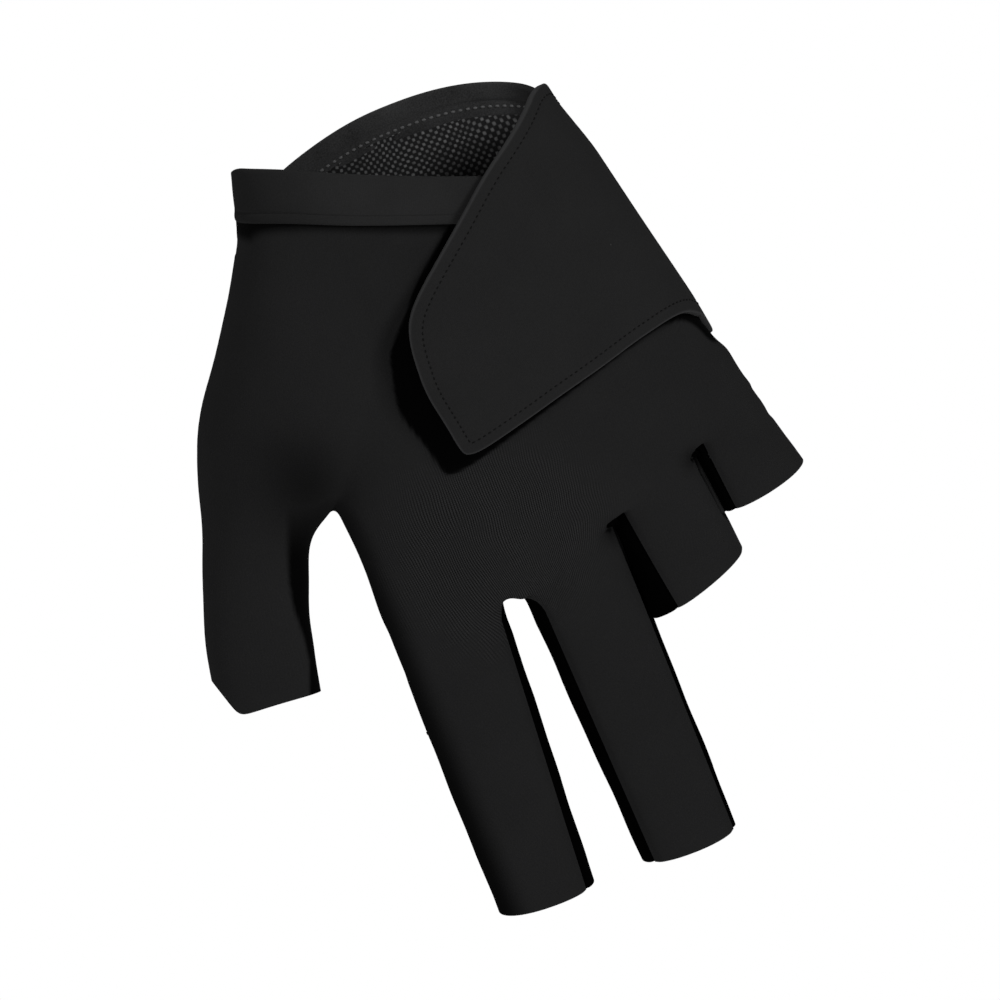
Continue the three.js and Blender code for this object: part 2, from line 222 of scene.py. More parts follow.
def smoothstep(value: Array, low: float, high: float) -> Array:
    """0 below low, 1 above high, and a smooth rise between them."""
    t = np.clip((value - low) / (high - low), 0, 1)
    return t * t * (3 - 2 * t)


def bell(value: Array, width: float) -> Array:
    """1 where the value is zero, falling softly to 0 on both sides."""
    return np.exp(-((value / width) ** 2))


def arc_lengths(path: Array) -> Array:
    """How far along a path each of its points lies."""
    return np.concatenate([[0], np.cumsum(np.linalg.norm(np.diff(path, axis=0), axis=1))])


def columns(table: Sequence[NamedTuple], key: str, at: Array) -> dict[str, Array]:
    """The columns of a table on smooth curves through its rows.

    Args:
        table: rows in the order of key.
        key: the column that says how far along a row is.
        at: how far along the values are wanted.

    Returns:
        The values of each column at those places.
    """
    knots = np.array([getattr(row, key) for row in table])
    at = np.clip(at, knots[0], knots[-1])
    i = np.clip(np.searchsorted(knots, at, side="right") - 1, 0, len(knots) - 2)
    width = knots[i + 1] - knots[i]
    t = (at - knots[i]) / width
    found = {}
    for name in table[0]._fields:
        values = np.array([getattr(row, name) for row in table], float)
        slopes = np.gradient(values, knots)
        start = (2 * t**3 - 3 * t**2 + 1) * values[i] + (t**3 - 2 * t**2 + t) * width * slopes[i]
        end = (3 * t**2 - 2 * t**3) * values[i + 1] + (t**3 - t**2) * width * slopes[i + 1]
        found[name] = start + end
    return found


def superellipse(
    turn: Array, breadth: Array, back: Array, palm: Array, fullness: float
) -> tuple[Array, Array]:
    """Across and out of a section's point.

    Args:
        turn: the place round the section; from pi to two pi is on the back, where out is negative.
        breadth: half the section's breadth.
        back: its depth on the back.
        palm: its depth on the palm side.
        fullness: 2 for an ellipse, and more for a fuller section.

    Returns:
        The place across and the place out of the middle surface.
    """
    cos, sin = np.cos(turn), np.sin(turn)
    across = breadth * np.sign(cos) * np.abs(cos) ** (2 / fullness)
    depth = np.where(sin < 0, back, palm)
    return across, depth * np.sign(sin) * np.abs(sin) ** (2 / fullness)


@dataclass(frozen=True)
class Hand:
    """The hand that fills the glove: its sizes and its analytic surfaces."""

    palm_breadth: float = 90 * MM
    wrist_depth: float = 41 * MM
    body_length: float = 97 * MM
    crotch_rise: float = 0.306
    palm_middle: float = 10 * MM
    glove_length: float = 171 * MM
    finger_breadth: float = 20.4 * MM
    finger_depth: float = 18 * MM
    finger_root: float = 16 * MM
    root_depth: float = 0.95
    thumb_depth: float = 21 * MM
    thumb_breadth: float = 23.4 * MM
    thumb_bevel_rise: float = 12.8 * MM
    thumb_bevel_breadth: float = 4.4 * MM
    finger_curl: float = 9 * MM
    curl_from: float = 0.6
    curl_power: float = 1.6
    thumb_drop: float = 13 * MM
    thumb_drop_from: float = 0.36
    thumb_drop_to: float = 0.86
    little_drop: float = 4 * MM
    little_drop_to: float = 0.6
    body_fullness: float = 2.35
    tube_fullness: float = 2.15
    past: float = 7 * MM  # how far the tubes run on past the open ends, before they are cut
    tube_sides: int = 48
    solve_rounds: int = 6  # for the slant of the body's sections

    def middle(self, x: Array, z: Array) -> Array:
        """The height of the hand's middle surface at places of the front view."""
        start = self.curl_from * self.body_length
        share = np.clip((-z - start) / (self.glove_length - start), 0, 1)
        curl = self.finger_curl * share**self.curl_power
        out = np.abs(x) / self.palm_breadth
        thumb = self.thumb_drop * smoothstep(out, self.thumb_drop_from, self.thumb_drop_to)
        little = self.little_drop * np.clip(out / self.little_drop_to, 0, 1) ** 2
        return np.where(x < 0, np.maximum(curl, thumb), curl + little)

    def crotch_height(self, x: Array) -> Array:
        """The line on which the fingers part."""
        return -self.body_length + self.crotch_rise * (x - self.palm_middle)

    def body_section(self, turn: Array, down: Array) -> tuple[Array, Array, Array]:
        """Place across, place out of the middle surface and slant of the body's surface."""
        row = columns(BODY_ROWS, "down", down)
        left, right = row["thumb_side"] * self.palm_breadth, row["little_side"] * self.palm_breadth
        back, palm = row["back"] * self.wrist_depth, row["palm"] * self.wrist_depth
        across, out = superellipse(turn, (right - left) / 2, back, palm, self.body_fullness)
        return (left + right) / 2 + across, out, row["slant"]

    def body_surface(self, turn: Array, z: Array) -> Array:
        """Points of the body's surface at given turns and heights.

        Args:
            turn: the place round the section; the back is from pi to two pi.
            z: the height.

        Returns:
            The points, with the last axis for x, y and z.
        """
        turn, z = np.broadcast_arrays(np.asarray(turn, float), np.asarray(z, float))
        down = -z / self.body_length
        for _ in range(self.solve_rounds):
            x, out, slant = self.body_section(turn, down)
            down = (slant * self.crotch_rise * (x - self.palm_middle) - z) / self.body_length
        x, out, _ = self.body_section(turn, down)
        return np.stack([x, self.middle(x, z) + out, z], axis=-1)

    def body_frame(self, turn: Array, z: Array) -> tuple[Array, Array]:
        """Points of the body's surface and its outward normals there."""
        step_turn, step_z = 0.004, 0.2 * MM
        point = self.body_surface(turn, z)
        around = self.body_surface(turn + step_turn, z) - self.body_surface(turn - step_turn, z)
        along = self.body_surface(turn, z + step_z) - self.body_surface(turn, z - step_z)
        normal = np.cross(around, along)
        normal /= np.linalg.norm(normal, axis=-1, keepdims=True)
        return point, normal

    def body_rings(self, sides: int = 120, rows: int = 90) -> list[Array]:
        """The body's sections from above the wrist to the crotches."""
        turn = np.arange(sides) / sides * 2 * math.pi
        rings = []
        for down in BODY_ROWS[0].down + (1 - BODY_ROWS[0].down) * np.linspace(0, 1, rows) ** 0.8:
            x, out, slant = self.body_section(turn, np.full(sides, down))
            z = -down * self.body_length + slant * self.crotch_rise * (x - self.palm_middle)
            rings.append(np.stack([x, self.middle(x, z) + out, z], axis=-1))
        return rings

    def tube_ring(self, x: float, z: float, breadth: float, depth: float, slope: float) -> Array:
        """One ring of a finger or thumb, square to the hand's middle surface."""
        turn = np.arange(self.tube_sides) / self.tube_sides * 2 * math.pi
        across, out = superellipse(turn, breadth / 2, depth / 2, depth / 2, self.tube_fullness)
        px = x + across * math.cos(math.radians(slope))
        pz = z + across * math.sin(math.radians(slope))
        return np.stack([px, self.middle(px, pz) + out, pz], axis=-1)

    def finger_axis(self, row: FingerRow) -> tuple[Array, Array]:
        """A finger's root and tip in the front view."""
        x = row.root_across * self.palm_breadth
        root = np.array([x, self.crotch_height(x) + self.finger_root])
        return root, np.array([row.tip_across * self.palm_breadth, -row.tip_down * self.glove_length])

    def finger_half(self, row: FingerRow, z: Array) -> tuple[Array, Array]:
        """A finger's middle line and its half breadth at given heights."""
        root, tip = self.finger_axis(row)
        share = (z - root[1]) / (tip[1] - root[1])
        half = self.finger_breadth * (row.root + (row.tip - row.root) * share) / 2
        return root[0] + (tip[0] - root[0]) * share, half

    def spread_ramp(self, x: Array, z: Array) -> Array:
        """How much of a finger's spread holds: none at the crotch, all of it a little below."""
        return smoothstep(self.crotch_height(x) - z, -1 * MM, 6 * MM)

    def finger_rings(self, row: FingerRow, steps: int = 40) -> list[Array]:
        """A finger's rings from inside the body to past its open end, held aside by its spread."""
        root, tip = self.finger_axis(row)
        length = float(np.linalg.norm(tip - root))
        rings = []
        for i in range(steps + 1):
            share = i / steps * (1 + self.past / length)
            fill = self.root_depth + (1 - self.root_depth) * min(share * length / self.finger_root, 1)
            at = root + (tip - root) * share
            breadth = self.finger_breadth * (row.root + (row.tip - row.root) * share)
            tilt = row.tilt * min(share, 1)
            ring = self.tube_ring(at[0], at[1], breadth, self.finger_depth * fill, tilt)
            ring[:, 0] += row.spread * MM * self.spread_ramp(ring[:, 0], ring[:, 2])
            rings.append(ring)
        return rings

    def thumb_rings(self, steps: int = 60) -> list[Array]:
        """The thumb's rings from its broad root in the body to past its open end."""
        first, last = THUMB_ROWS[0], THUMB_ROWS[-1]
        rings = []
        for down in np.linspace(first.down, last.down, steps):
            row = {name: float(v) for name, v in columns(THUMB_ROWS, "down", np.array(down)).items()}
            x, z = row["across"] * self.palm_breadth, -down * self.body_length
            breadth, depth = row["breadth"] * self.thumb_breadth, row["depth"] * self.thumb_depth
            rings.append(self.tube_ring(x, z, breadth, depth, -row["lean"]))
        lean = math.radians(last.lean)
        for along in np.linspace(self.past / 4, self.past, 4):
            x = last.across * self.palm_breadth - along * math.sin(lean)
            z = -last.down * self.body_length - along * math.cos(lean)
            breadth, depth = last.breadth * self.thumb_breadth, last.depth * self.thumb_depth
            rings.append(self.tube_ring(x, z, breadth, depth, -last.lean))
        return rings


@dataclass(frozen=True)
class Rims:
    """The glove's cut lines: its two rims, its seams, its gussets and the open ends of its fingers."""

    hand: Hand
    cuff_width: float = 11.5 * MM
    hem_width: float = 8 * MM
    back_rise: float = 10.3 * MM
    back_fall: float = 0.46
    side_fall: float = 3.6 * MM
    side_power: float = 2.4
    side_tip: float = 1.5 * MM
    tip_power: float = 12
    corner_round: float = 0.2
    tuck: float = 1.8 * MM  # how far the panels go in behind the cuff and the hem
    palm_drop: float = 0.35 * MM
    palm_side_drop: float = 0.8 * MM
    palm_side_reach: float = 20 * MM
    palm_sag: float = 6.5 * MM
    palm_half: float = 0.38
    palm_power: float = 2.4
    gusset_end: float = 16.4 * MM
    gusset_taper: float = 9 * MM
    seam_shift: float = 2 * MM  # the seam lies a little to the palm side of the hand's middle
    gap: float = 0.3 * MM
    thumb_slope: float = -1.5
    thumb_drop: float = 1.1 * MM
    thumb_slant: float = 0.24
    bevel_soft: float = 0.8 * MM
    end_clear: float = 2 * MM  # the open ends are looked for only this far below the crotches
    inner_margin: float = 17 * MM  # what is further to the thumb's side of the index's root is the thumb

    def back_rim(self, x: Array) -> Array:
        """The height of the cuff's upper edge, which the lines further down follow."""
        side = BODY_ROWS[1].thumb_side * self.hand.palm_breadth
        share = np.clip((x - side) / (self.corner_round * self.hand.palm_breadth), 0, 1)
        fall = self.side_fall * (1 - share) ** self.side_power
        fall = fall + self.side_tip * (1 - share) ** self.tip_power
        return self.back_rise - self.back_fall * np.maximum(x - side, 0) - fall

    def palm_rim(self, x: Array) -> Array:
        """The height of the palm hem's upper edge, which the lines further down follow."""
        share = np.clip(np.abs(x) / (self.palm_half * self.hand.palm_breadth), 0, 1)
        side = self.palm_side_drop * smoothstep(-x, 0, self.palm_side_reach)
        return -self.palm_drop - self.palm_sag * share**self.palm_power - side

    def seam_field(self, co: Array) -> Array:
        """How far points lie to the palm side of the seam."""
        return co[:, 1] - self.hand.middle(co[:, 0], co[:, 2]) - self.seam_shift

    def gusset_field(self, index: int) -> Field:
        """How far points lie outside one gusset, as a function of their places."""
        row = GUSSETS[index]

        def outside(co: Array) -> Array:
            """How far points lie outside the gusset."""
            x, y, z = co.T
            share = np.clip((self.hand.crotch_height(x) - z) / self.gusset_taper, 0, 1)
            half = (row.crotch * MM + (self.gusset_end - row.crotch * MM) * share) / 2
            first, first_half = self.hand.finger_half(FINGERS[index], z)
            second, second_half = self.hand.finger_half(FINGERS[index + 1], z)
            way = np.clip((self.hand.crotch_height(x) - z) / (row.length * MM), -0.2, 1)
            low = first + (row.first + (row.first_end - row.first) * way) * first_half
            high = second - (row.second + (row.second_end - row.second) * way) * second_half
            aside = np.maximum(x - np.maximum(low, second - second_half), 0)
            above = z - self.hand.crotch_height(x) - row.top * MM + row.slope * aside
            return np.maximum.reduce([np.abs(y - self.hand.middle(x, z)) - half, low - x, x - high, above])

        return outside

    def nearest_finger(self, co: Array) -> Array:
        """The index of the finger whose middle line is nearest, in half breadths."""
        away = []
        for row in FINGERS:
            _, tip = self.hand.finger_axis(row)
            axis, half = self.hand.finger_half(row, np.maximum(co[:, 2], tip[1]))
            spread = row.spread * MM * self.hand.spread_ramp(co[:, 0], co[:, 2])
            away.append(np.abs(co[:, 0] - axis - spread) / half)
        return np.argmin(away, axis=0)

    def ends(self, co: Array) -> Array:
        """How far points lie past the open end of their own finger or of the thumb."""
        beyond = np.full(len(co), -1.0)
        nearest = self.nearest_finger(co)
        below = co[:, 2] < self.hand.crotch_height(co[:, 0]) - self.end_clear
        inner = co[:, 0] > FINGERS[0].root_across * self.hand.palm_breadth - self.inner_margin
        for i, row in enumerate(FINGERS):
            _, tip = self.hand.finger_axis(row)
            tilt = math.radians(row.tilt)
            aside = co[:, 0] - tip[0] - row.spread * MM
            past = aside * math.sin(tilt) - (co[:, 2] - tip[1]) * math.cos(tilt)
            beyond = np.where((nearest == i) & below & inner, past, beyond)
        return np.maximum(beyond, np.where(inner, -1.0, self.thumb_end(co)))

    def thumb_end(self, co: Array) -> Array:
        """How far points lie past the thumb's open end, whose outer corner is slanted."""
        end = THUMB_ROWS[-1]
        slope = math.radians(self.thumb_slope)
        across = np.array([math.cos(slope), math.sin(slope)])
        along = np.array([across[1], -across[0]])
        low = -end.down * self.hand.body_length - self.thumb_drop
        place = co[:, [0, 2]] - [end.across * self.hand.palm_breadth, low]
        u, v = place @ across, place @ along
        v = v + (self.hand.middle(co[:, 0], co[:, 2]) - co[:, 1]) * self.thumb_slant
        half = end.breadth * self.hand.thumb_breadth / 2
        rise, breadth = self.hand.thumb_bevel_rise, self.hand.thumb_bevel_breadth
        length = math.hypot(rise, breadth)
        bevel = (rise * (-half + breadth - u) + breadth * v) / length
        return np.logaddexp(v / self.bevel_soft, bevel / self.bevel_soft) * self.bevel_soft


def select_only(obj: bpy.types.Object) -> None:
    """Makes obj the only selected and the active object."""
    bpy.ops.object.select_all(action="DESELECT")
    obj.select_set(True)
    bpy.context.view_layer.objects.active = obj


def apply_modifiers(obj: bpy.types.Object) -> None:
    """Applies every modifier of obj in order."""
    select_only(obj)
    for modifier in list(obj.modifiers):
        bpy.ops.object.modifier_apply(modifier=modifier.name)


def mesh_object(name: str, points: Array, faces: Sequence[Sequence[int]]) -> bpy.types.Object:
    """A new mesh object at the origin.

    Args:
        name: the object's name.
        points: its vertices, in place.
        faces: its faces, as vertex numbers.

    Returns:
        The object, linked to the scene.
    """
    mesh = bpy.data.meshes.new(name)
    mesh.from_pydata(np.asarray(points, float).tolist(), [], [list(map(int, face)) for face in faces])
    mesh.update()
    obj = bpy.data.objects.new(name, mesh)
    bpy.context.scene.collection.objects.link(obj)
    return obj


def tube_faces(rings: int, sides: int, start: int = 0) -> list[Sequence[int]]:
    """The faces of a closed tube.

    Args:
        rings: how many rings of points it has.
        sides: how many points a ring has.
        start: the number of its first point.

    Returns:
        Its faces, as vertex numbers, with the two ends last.
    """
    faces: list[Sequence[int]] = []
    for first in range(start, start + (rings - 1) * sides, sides):
        for i in range(sides):
            a, b = first + i, first + (i + 1) % sides
            faces.append((a, b, b + sides, a + sides))
    last = start + (rings - 1) * sides
    return [*faces, range(start, start + sides), range(last, last + sides)]


def face_outwards(obj: bpy.types.Object) -> None:
    """Turns the faces of a closed mesh outwards and shades them smoothly."""
    select_only(obj)
    bpy.ops.object.mode_set(mode="EDIT")
    bpy.ops.mesh.select_all(action="SELECT")
    bpy.ops.mesh.normals_make_consistent(inside=False)
    bpy.ops.object.mode_set(mode="OBJECT")


def shade_smoothly(obj: bpy.types.Object, degrees: float = 50) -> None:
    """Smooth shading, with edges sharper than an angle left crisp."""
    select_only(obj)
    bpy.ops.object.shade_smooth_by_angle(angle=math.radians(degrees))


def write_map(obj: bpy.types.Object, flat: Array) -> None:
    """Writes the cloth map from one flat place a vertex, in metres."""
    mesh = obj.data
    layer = mesh.uv_layers.new(name=CLOTH_MAP)
    corners = np.empty(len(mesh.loops), int)
    mesh.loops.foreach_get("vertex_index", corners)
    layer.uv.foreach_set("vector", (np.asarray(flat)[corners] / MM).astype(np.float32).ravel())


def write_attribute(obj: bpy.types.Object, name: str, values: Array) -> None:
    """Writes one number a vertex as a named attribute."""
    layer = obj.data.attributes.new(name, "FLOAT", "POINT")
    layer.data.foreach_set("value", np.asarray(values, np.float32))


SNAP = 0.02  # a cut that is nearer to an edge's end than this share of it goes through the vertex


def keep_inside(work: bmesh.types.BMesh, outside: Field) -> None:
    """Cuts a mesh along the line where a field is zero and deletes what lies on its positive side.

    Args:
        work: the mesh, changed in place.
        outside: the field, from points to signed distances.
    """
    values = outside(np.array([v.co[:] for v in work.verts]))
    level = dict(zip(work.verts, values.tolist()))
    gone = [f for f in work.faces if all(level[v] > 0 for v in f.verts)]
    bmesh.ops.delete(work, geom=gone, context="FACES")
    cut = set()
    for edge in [e for e in work.edges if (level[e.verts[0]] < 0) != (level[e.verts[1]] < 0)]:
        start, end = edge.verts
        if (level[start] < 0) == (level[end] < 0) or level[start] == level[end]:
            continue
        share = level[start] / (level[start] - level[end])
        if share < SNAP or share > 1 - SNAP:
            snapped = start if share < 0.5 else end
            level[snapped] = 0.0
            cut.add(snapped)
            continue
        _, new = bmesh.utils.edge_split(edge, start, share)
        level[new] = 0.0
        cut.add(new)
    for face in {f for v in cut for f in v.link_faces}:
        if any(level[v] > 0 for v in face.verts) and any(level[v] < 0 for v in face.verts):
            ends = [v for v in face.verts if level[v] == 0]
            if len(ends) == 2:
                bmesh.utils.face_split(face, ends[0], ends[1])
    gone = [f for f in work.faces if sum(level[v] for v in f.verts) > 0]
    bmesh.ops.delete(work, geom=gone, context="FACES")
    loose = [v for v in work.verts if not v.link_faces]
    bmesh.ops.delete(work, geom=loose, context="VERTS")


class Wave(NamedTuple):
    """One long wave of the cloth: its direction and its phase."""

    x: float
    y: float
    z: float
    phase: float


WAVES = (
    Wave(1.0, 0.3, 0.45, 0.4),
    Wave(-0.5, 0.8, 0.9, 2.1),
    Wave(0.35, -0.6, 1.5, 4.0),
    Wave(1.7, 0.5, -0.7, 1.2),
)


@dataclass
class HandForm:
    """The smooth surface all over the hand, from which the cloth is cut."""

    hand: Hand
    rims: Rims
    voxel: float = 0.68 * MM
    rounds: int = 10
    knuckle_rounds: int = 140
    knuckle_top: tuple[float, float] = (-46 * MM, -20 * MM)  # below the line of the crotches
    knuckle_end: tuple[float, float] = (8 * MM, 26 * MM)
    web: Fold = Fold(-34, -55, 21)
    side_rounds: int = 70
    side_across: tuple[float, float] = (36 * MM, 42 * MM)
    side_top: tuple[float, float] = (52 * MM, 62 * MM)
    side_end: tuple[float, float] = (92 * MM, 100 * MM)
    crotch_rounds: int = 60
    close_rounds: int = 12
    close_over: tuple[float, float] = (-1.5 * MM, 2 * MM)
    seam_depth: float = 0.42 * MM
    seam_width: float = 0.95 * MM
    groove_depth: float = 0.9 * MM  # the back's cloth tucks in below the cuff
    groove_width: float = 1.5 * MM
    groove_from: tuple[float, float] = (0.5 * MM, 4 * MM)  # inside the thumb's side
    wrinkle: float = 0.22 * MM
    wrinkle_scale: float = 17 * MM

    def build(self) -> bpy.types.Object:
        """Joins the body, thumb and fingers into one smooth closed surface.

        Returns:
            The working object, which the panels are cut from.
        """
        points, faces = [], []
        tubes = [self.hand.finger_rings(row) for row in FINGERS]
        for rings in [self.hand.body_rings(), self.hand.thumb_rings(), *tubes]:
            faces += tube_faces(len(rings), len(rings[0]), len(points))
            points.extend(np.concatenate(rings).tolist())
        form = mesh_object("hand_form", points, faces)
        face_outwards(form)
        remesh = form.modifiers.new("Surface", "REMESH")
        remesh.mode = "VOXEL"
        remesh.voxel_size = self.voxel
        smooth = form.modifiers.new("Rounding", "SMOOTH")
        smooth.factor = 0.5
        smooth.iterations = self.rounds
        apply_modifiers(form)
        self.flatten_knuckles(form)
        self.even_side(form)
        self.round_crotches(form)
        self.cut_ends(form)
        self.close_fingers(form)
        self.shape(form)
        return form

    def flatten_knuckles(self, form: bpy.types.Object) -> None:
        """Evens out the cloth's height over the knuckles and leaves the outline as it is."""
        co = read_points(form)
        below = self.hand.crotch_height(co[:, 0]) - co[:, 2]
        weight = smoothstep(below, *self.knuckle_top) * (1 - smoothstep(below, *self.knuckle_end))
        weight = np.maximum(weight, 1 - smoothstep(self.web.away(co[:, 0], co[:, 2]), 0.3, 1))
        smooth_part(form, "knuckles", weight, self.knuckle_rounds, (False, True, False))

    def even_side(self, form: bpy.types.Object) -> None:
        """Evens out the little finger's side where the finger leaves the body."""
        co = read_points(form)
        weight = smoothstep(co[:, 0], *self.side_across) * smoothstep(-co[:, 2], *self.side_top)
        weight *= 1 - smoothstep(-co[:, 2], *self.side_end)
        smooth_part(form, "side", weight, self.side_rounds, (True, True, True))

    def round_crotches(self, form: bpy.types.Object) -> None:
        """Rounds the crotches between the fingers."""
        co = read_points(form)
        weight = np.zeros(len(co))
        for fold in CROTCHES:
            weight = np.maximum(weight, 1 - smoothstep(fold.away(co[:, 0], co[:, 2]), 0.45, 1))
        smooth_part(form, "crotches", weight, self.crotch_rounds, (True, True, True))

    def cut_ends(self, form: bpy.types.Object) -> None:
        """Opens the ends of the fingers and the thumb while they're held apart."""
        work = bmesh.new()
        work.from_mesh(form.data)
        keep_inside(work, self.rims.ends)
        work.to_mesh(form.data)
        work.free()

    def close_fingers(self, form: bpy.types.Object) -> None:
        """Brings the fingers back from where they were spread, up to their neighbours."""
        co = read_points(form)
        nearest = self.rims.nearest_finger(co)
        moved = co.copy()
        for i, row in enumerate(FINGERS):
            closed = co[:, 0]
            for _ in range(self.close_rounds):
                closed = co[:, 0] - row.spread * MM * self.hand.spread_ramp(closed, co[:, 2])
            axis, half = self.hand.finger_half(row, co[:, 2])
            side = np.clip((closed - axis) / half, -1, 1)
            drawn = row.right * np.clip(side, 0, 1) ** 2 - row.left * np.clip(-side, 0, 1) ** 2
            close = smoothstep(self.hand.crotch_height(closed) - co[:, 2], *self.close_over)
            moved[:, 0] = np.where(nearest == i, closed + drawn * close * MM, moved[:, 0])
        for push in PUSHES:
            away = np.hypot(co[:, 0] - push.x * MM, co[:, 2] - push.z * MM) / (push.radius * MM)
            weight = np.exp(-(away**2))
            moved[:, 0] += push.right * MM * weight
            moved[:, 2] += push.up * MM * weight
        write_points(form, moved)

    def shape(self, form: bpy.types.Object) -> None:
        """Presses the seams in, tucks the back in under the cuff and adds the cloth's slight unevenness."""
        co = read_points(form)
        gussets = [self.rims.gusset_field(i)(co) for i in range(len(GUSSETS))]
        seams = [np.abs(away) for away in gussets]
        in_gusset = np.min(gussets, axis=0) < 0
        middle_seam = np.where(in_gusset, 1.0, np.abs(self.rims.seam_field(co)))
        near = np.minimum.reduce([middle_seam, *seams])
        height = -self.seam_depth * bell(near, self.seam_width)
        cuff = self.rims.cuff_width
        below = self.rims.back_rim(co[:, 0]) - cuff - co[:, 2]
        back = self.rims.seam_field(co) < 0
        tuck = bell(np.clip(below, 0, 1), self.groove_width)
        side = BODY_ROWS[1].thumb_side * self.hand.palm_breadth
        inner = smoothstep(co[:, 0] - side, *self.groove_from)
        height -= np.where(back, self.groove_depth * tuck * inner, 0)
        height += self.wrinkle * self.unevenness(co)
        write_points(form, co + read_normals(form) * height[:, None])

    def unevenness(self, co: Array) -> Array:
        """A smooth sum of long waves, from about -1 to 1."""
        total = np.zeros(len(co))
        for wave in WAVES:
            total += np.sin((co @ wave[:3]) / self.wrinkle_scale * 2 * math.pi / 1.6 + wave.phase)
        return total / len(WAVES)


def read_points(obj: bpy.types.Object) -> Array:
    """The vertices of a mesh object as an array."""
    co = np.empty(len(obj.data.vertices) * 3, np.float32)
    obj.data.vertices.foreach_get("co", co)
    return co.reshape(-1, 3).astype(float)


def read_normals(obj: bpy.types.Object) -> Array:
    """The vertices' normals of a mesh object as an array."""
    normals = np.empty(len(obj.data.vertices) * 3, np.float32)
    obj.data.vertices.foreach_get("normal", normals)
    return normals.reshape(-1, 3)


def write_points(obj: bpy.types.Object, co: Array) -> None:
    """Moves the vertices of a mesh object."""
    obj.data.vertices.foreach_set("co", co.astype(np.float32).ravel())
    obj.data.update()


def smooth_part(
    obj: bpy.types.Object, name: str, weight: Array, rounds: int, axes: tuple[bool, bool, bool]
) -> None:
    """Smooths a part of a mesh.

    Args:
        obj: the mesh object.
        name: a name for the part.
        weight: how much each vertex takes part.
        rounds: how often it is smoothed.
        axes: whether x, y and z may change.
    """
    group = obj.vertex_groups.new(name=name)
    steps = np.round(weight * 10).astype(int)
    for step in range(1, 11):
        chosen = np.flatnonzero(steps == step)
        group.add([int(i) for i in chosen], step / 10, "REPLACE")
    even = obj.modifiers.new(name, "SMOOTH")
    even.use_x, even.use_y, even.use_z = axes
    even.factor = 0.5
    even.iterations = rounds
    even.vertex_group = group.name
    apply_modifiers(obj)
    obj.vertex_groups.clear()


def cut_from(form: bpy.types.Object, name: str, fields: Sequence[Field]) -> bpy.types.Object:
    """A piece of the hand's surface that lies inside every one of some fields.

    Args:
        form: the whole surface.
        name: the new piece's name.
        fields: each is positive outside the piece.

    Returns:
        The piece, as an open sheet.
    """
    work = bmesh.new()
    work.from_mesh(form.data)
    for outside in fields:
        keep_inside(work, outside)
    bmesh.ops.remove_doubles(work, verts=work.verts, dist=0.03 * MM)
    bmesh.ops.dissolve_degenerate(work, edges=work.edges, dist=0.02 * MM)
    mesh = bpy.data.meshes.new(name)
    work.to_mesh(mesh)
    work.free()
    obj = bpy.data.objects.new(name, mesh)
    bpy.context.scene.collection.objects.link(obj)
    return obj


def thicken(obj: bpy.types.Object, wall: float, offset: float = -1) -> None:
    """Gives an open sheet its wall, inwards from its outer face."""
    solid = obj.modifiers.new("Wall", "SOLIDIFY")
    solid.thickness = wall
    solid.offset = offset
    solid.use_rim = True
    apply_modifiers(obj)


def flatten_map(obj: bpy.types.Object) -> None:
    """Lays a curved sheet flat as its cloth map, in millimetres, with the hand's axis upright."""
    select_only(obj)
    mesh = obj.data
    mesh.uv_layers.new(name=CLOTH_MAP)
    bpy.ops.object.mode_set(mode="EDIT")
    bpy.ops.mesh.select_all(action="SELECT")
    bpy.ops.uv.unwrap(method="CONFORMAL", margin=0)
    bpy.ops.object.mode_set(mode="OBJECT")
    layer = obj.data.uv_layers[CLOTH_MAP]
    flat = np.empty(len(mesh.loops) * 2, np.float32)
    layer.uv.foreach_get("vector", flat)
    corners = np.empty(len(mesh.loops), int)
    mesh.loops.foreach_get("vertex_index", corners)
    place = read_points(obj)[corners]
    plane = place[:, 0] + 1j * place[:, 2]
    plane = (plane - plane.mean()) / MM
    laid = flat[0::2] + 1j * flat[1::2]
    laid = laid - laid.mean()
    best = None
    for candidate in (laid, laid.conjugate()):
        factor = (candidate.conjugate() * plane).sum() / (np.abs(candidate) ** 2).sum()
        miss = np.abs(factor * candidate - plane).sum()
        if best is None or miss < best[0]:
            best = (miss, factor * candidate)
    placed = np.stack([best[1].real, best[1].imag], axis=-1)
    layer.uv.foreach_set("vector", placed.astype(np.float32).ravel())


class ShadePoint(NamedTuple):
    """Where the painted shade on the thumb's inner side begins, in millimetres: how far down, where across,
    how softly.
    """

    down: float
    x: float
    soft: float


THUMB_SHADE = (
    ShadePoint(48, -48.5, 6),
    ShadePoint(54, -50, 4),
    ShadePoint(61.6, -50, 2.6),
    ShadePoint(69.8, -51.5, 1.4),
    ShadePoint(82, -55.4, 0.6),
    ShadePoint(88, -56.7, 0.5),
    ShadePoint(95.5, -57.1, 0.5),
    ShadePoint(101, -58, 0.5),
    ShadePoint(108, -60.8, 0.5),
)

CROTCH_SHADE = (Fold(12, -98.5, 3.0), Fold(33, -90, 2.6))


def signed_depth(points: Array, outline: Array) -> Array:
    """How far points lie inside a closed outline; outside it the number is negative."""
    x, y = outline.T
    nx, ny = np.roll(x, -1), np.roll(y, -1)
    crosses = (y[None] > points[:, 1:]) != (ny[None] > points[:, 1:])
    at = (nx - x)[None] * (points[:, 1:] - y[None]) / np.where(ny == y, 1e-12, ny - y)[None] + x[None]
    inside = (crosses & (points[:, :1] < at)).sum(1) % 2 == 1
    return np.where(inside, 1, -1) * depth_inside(points, outline)


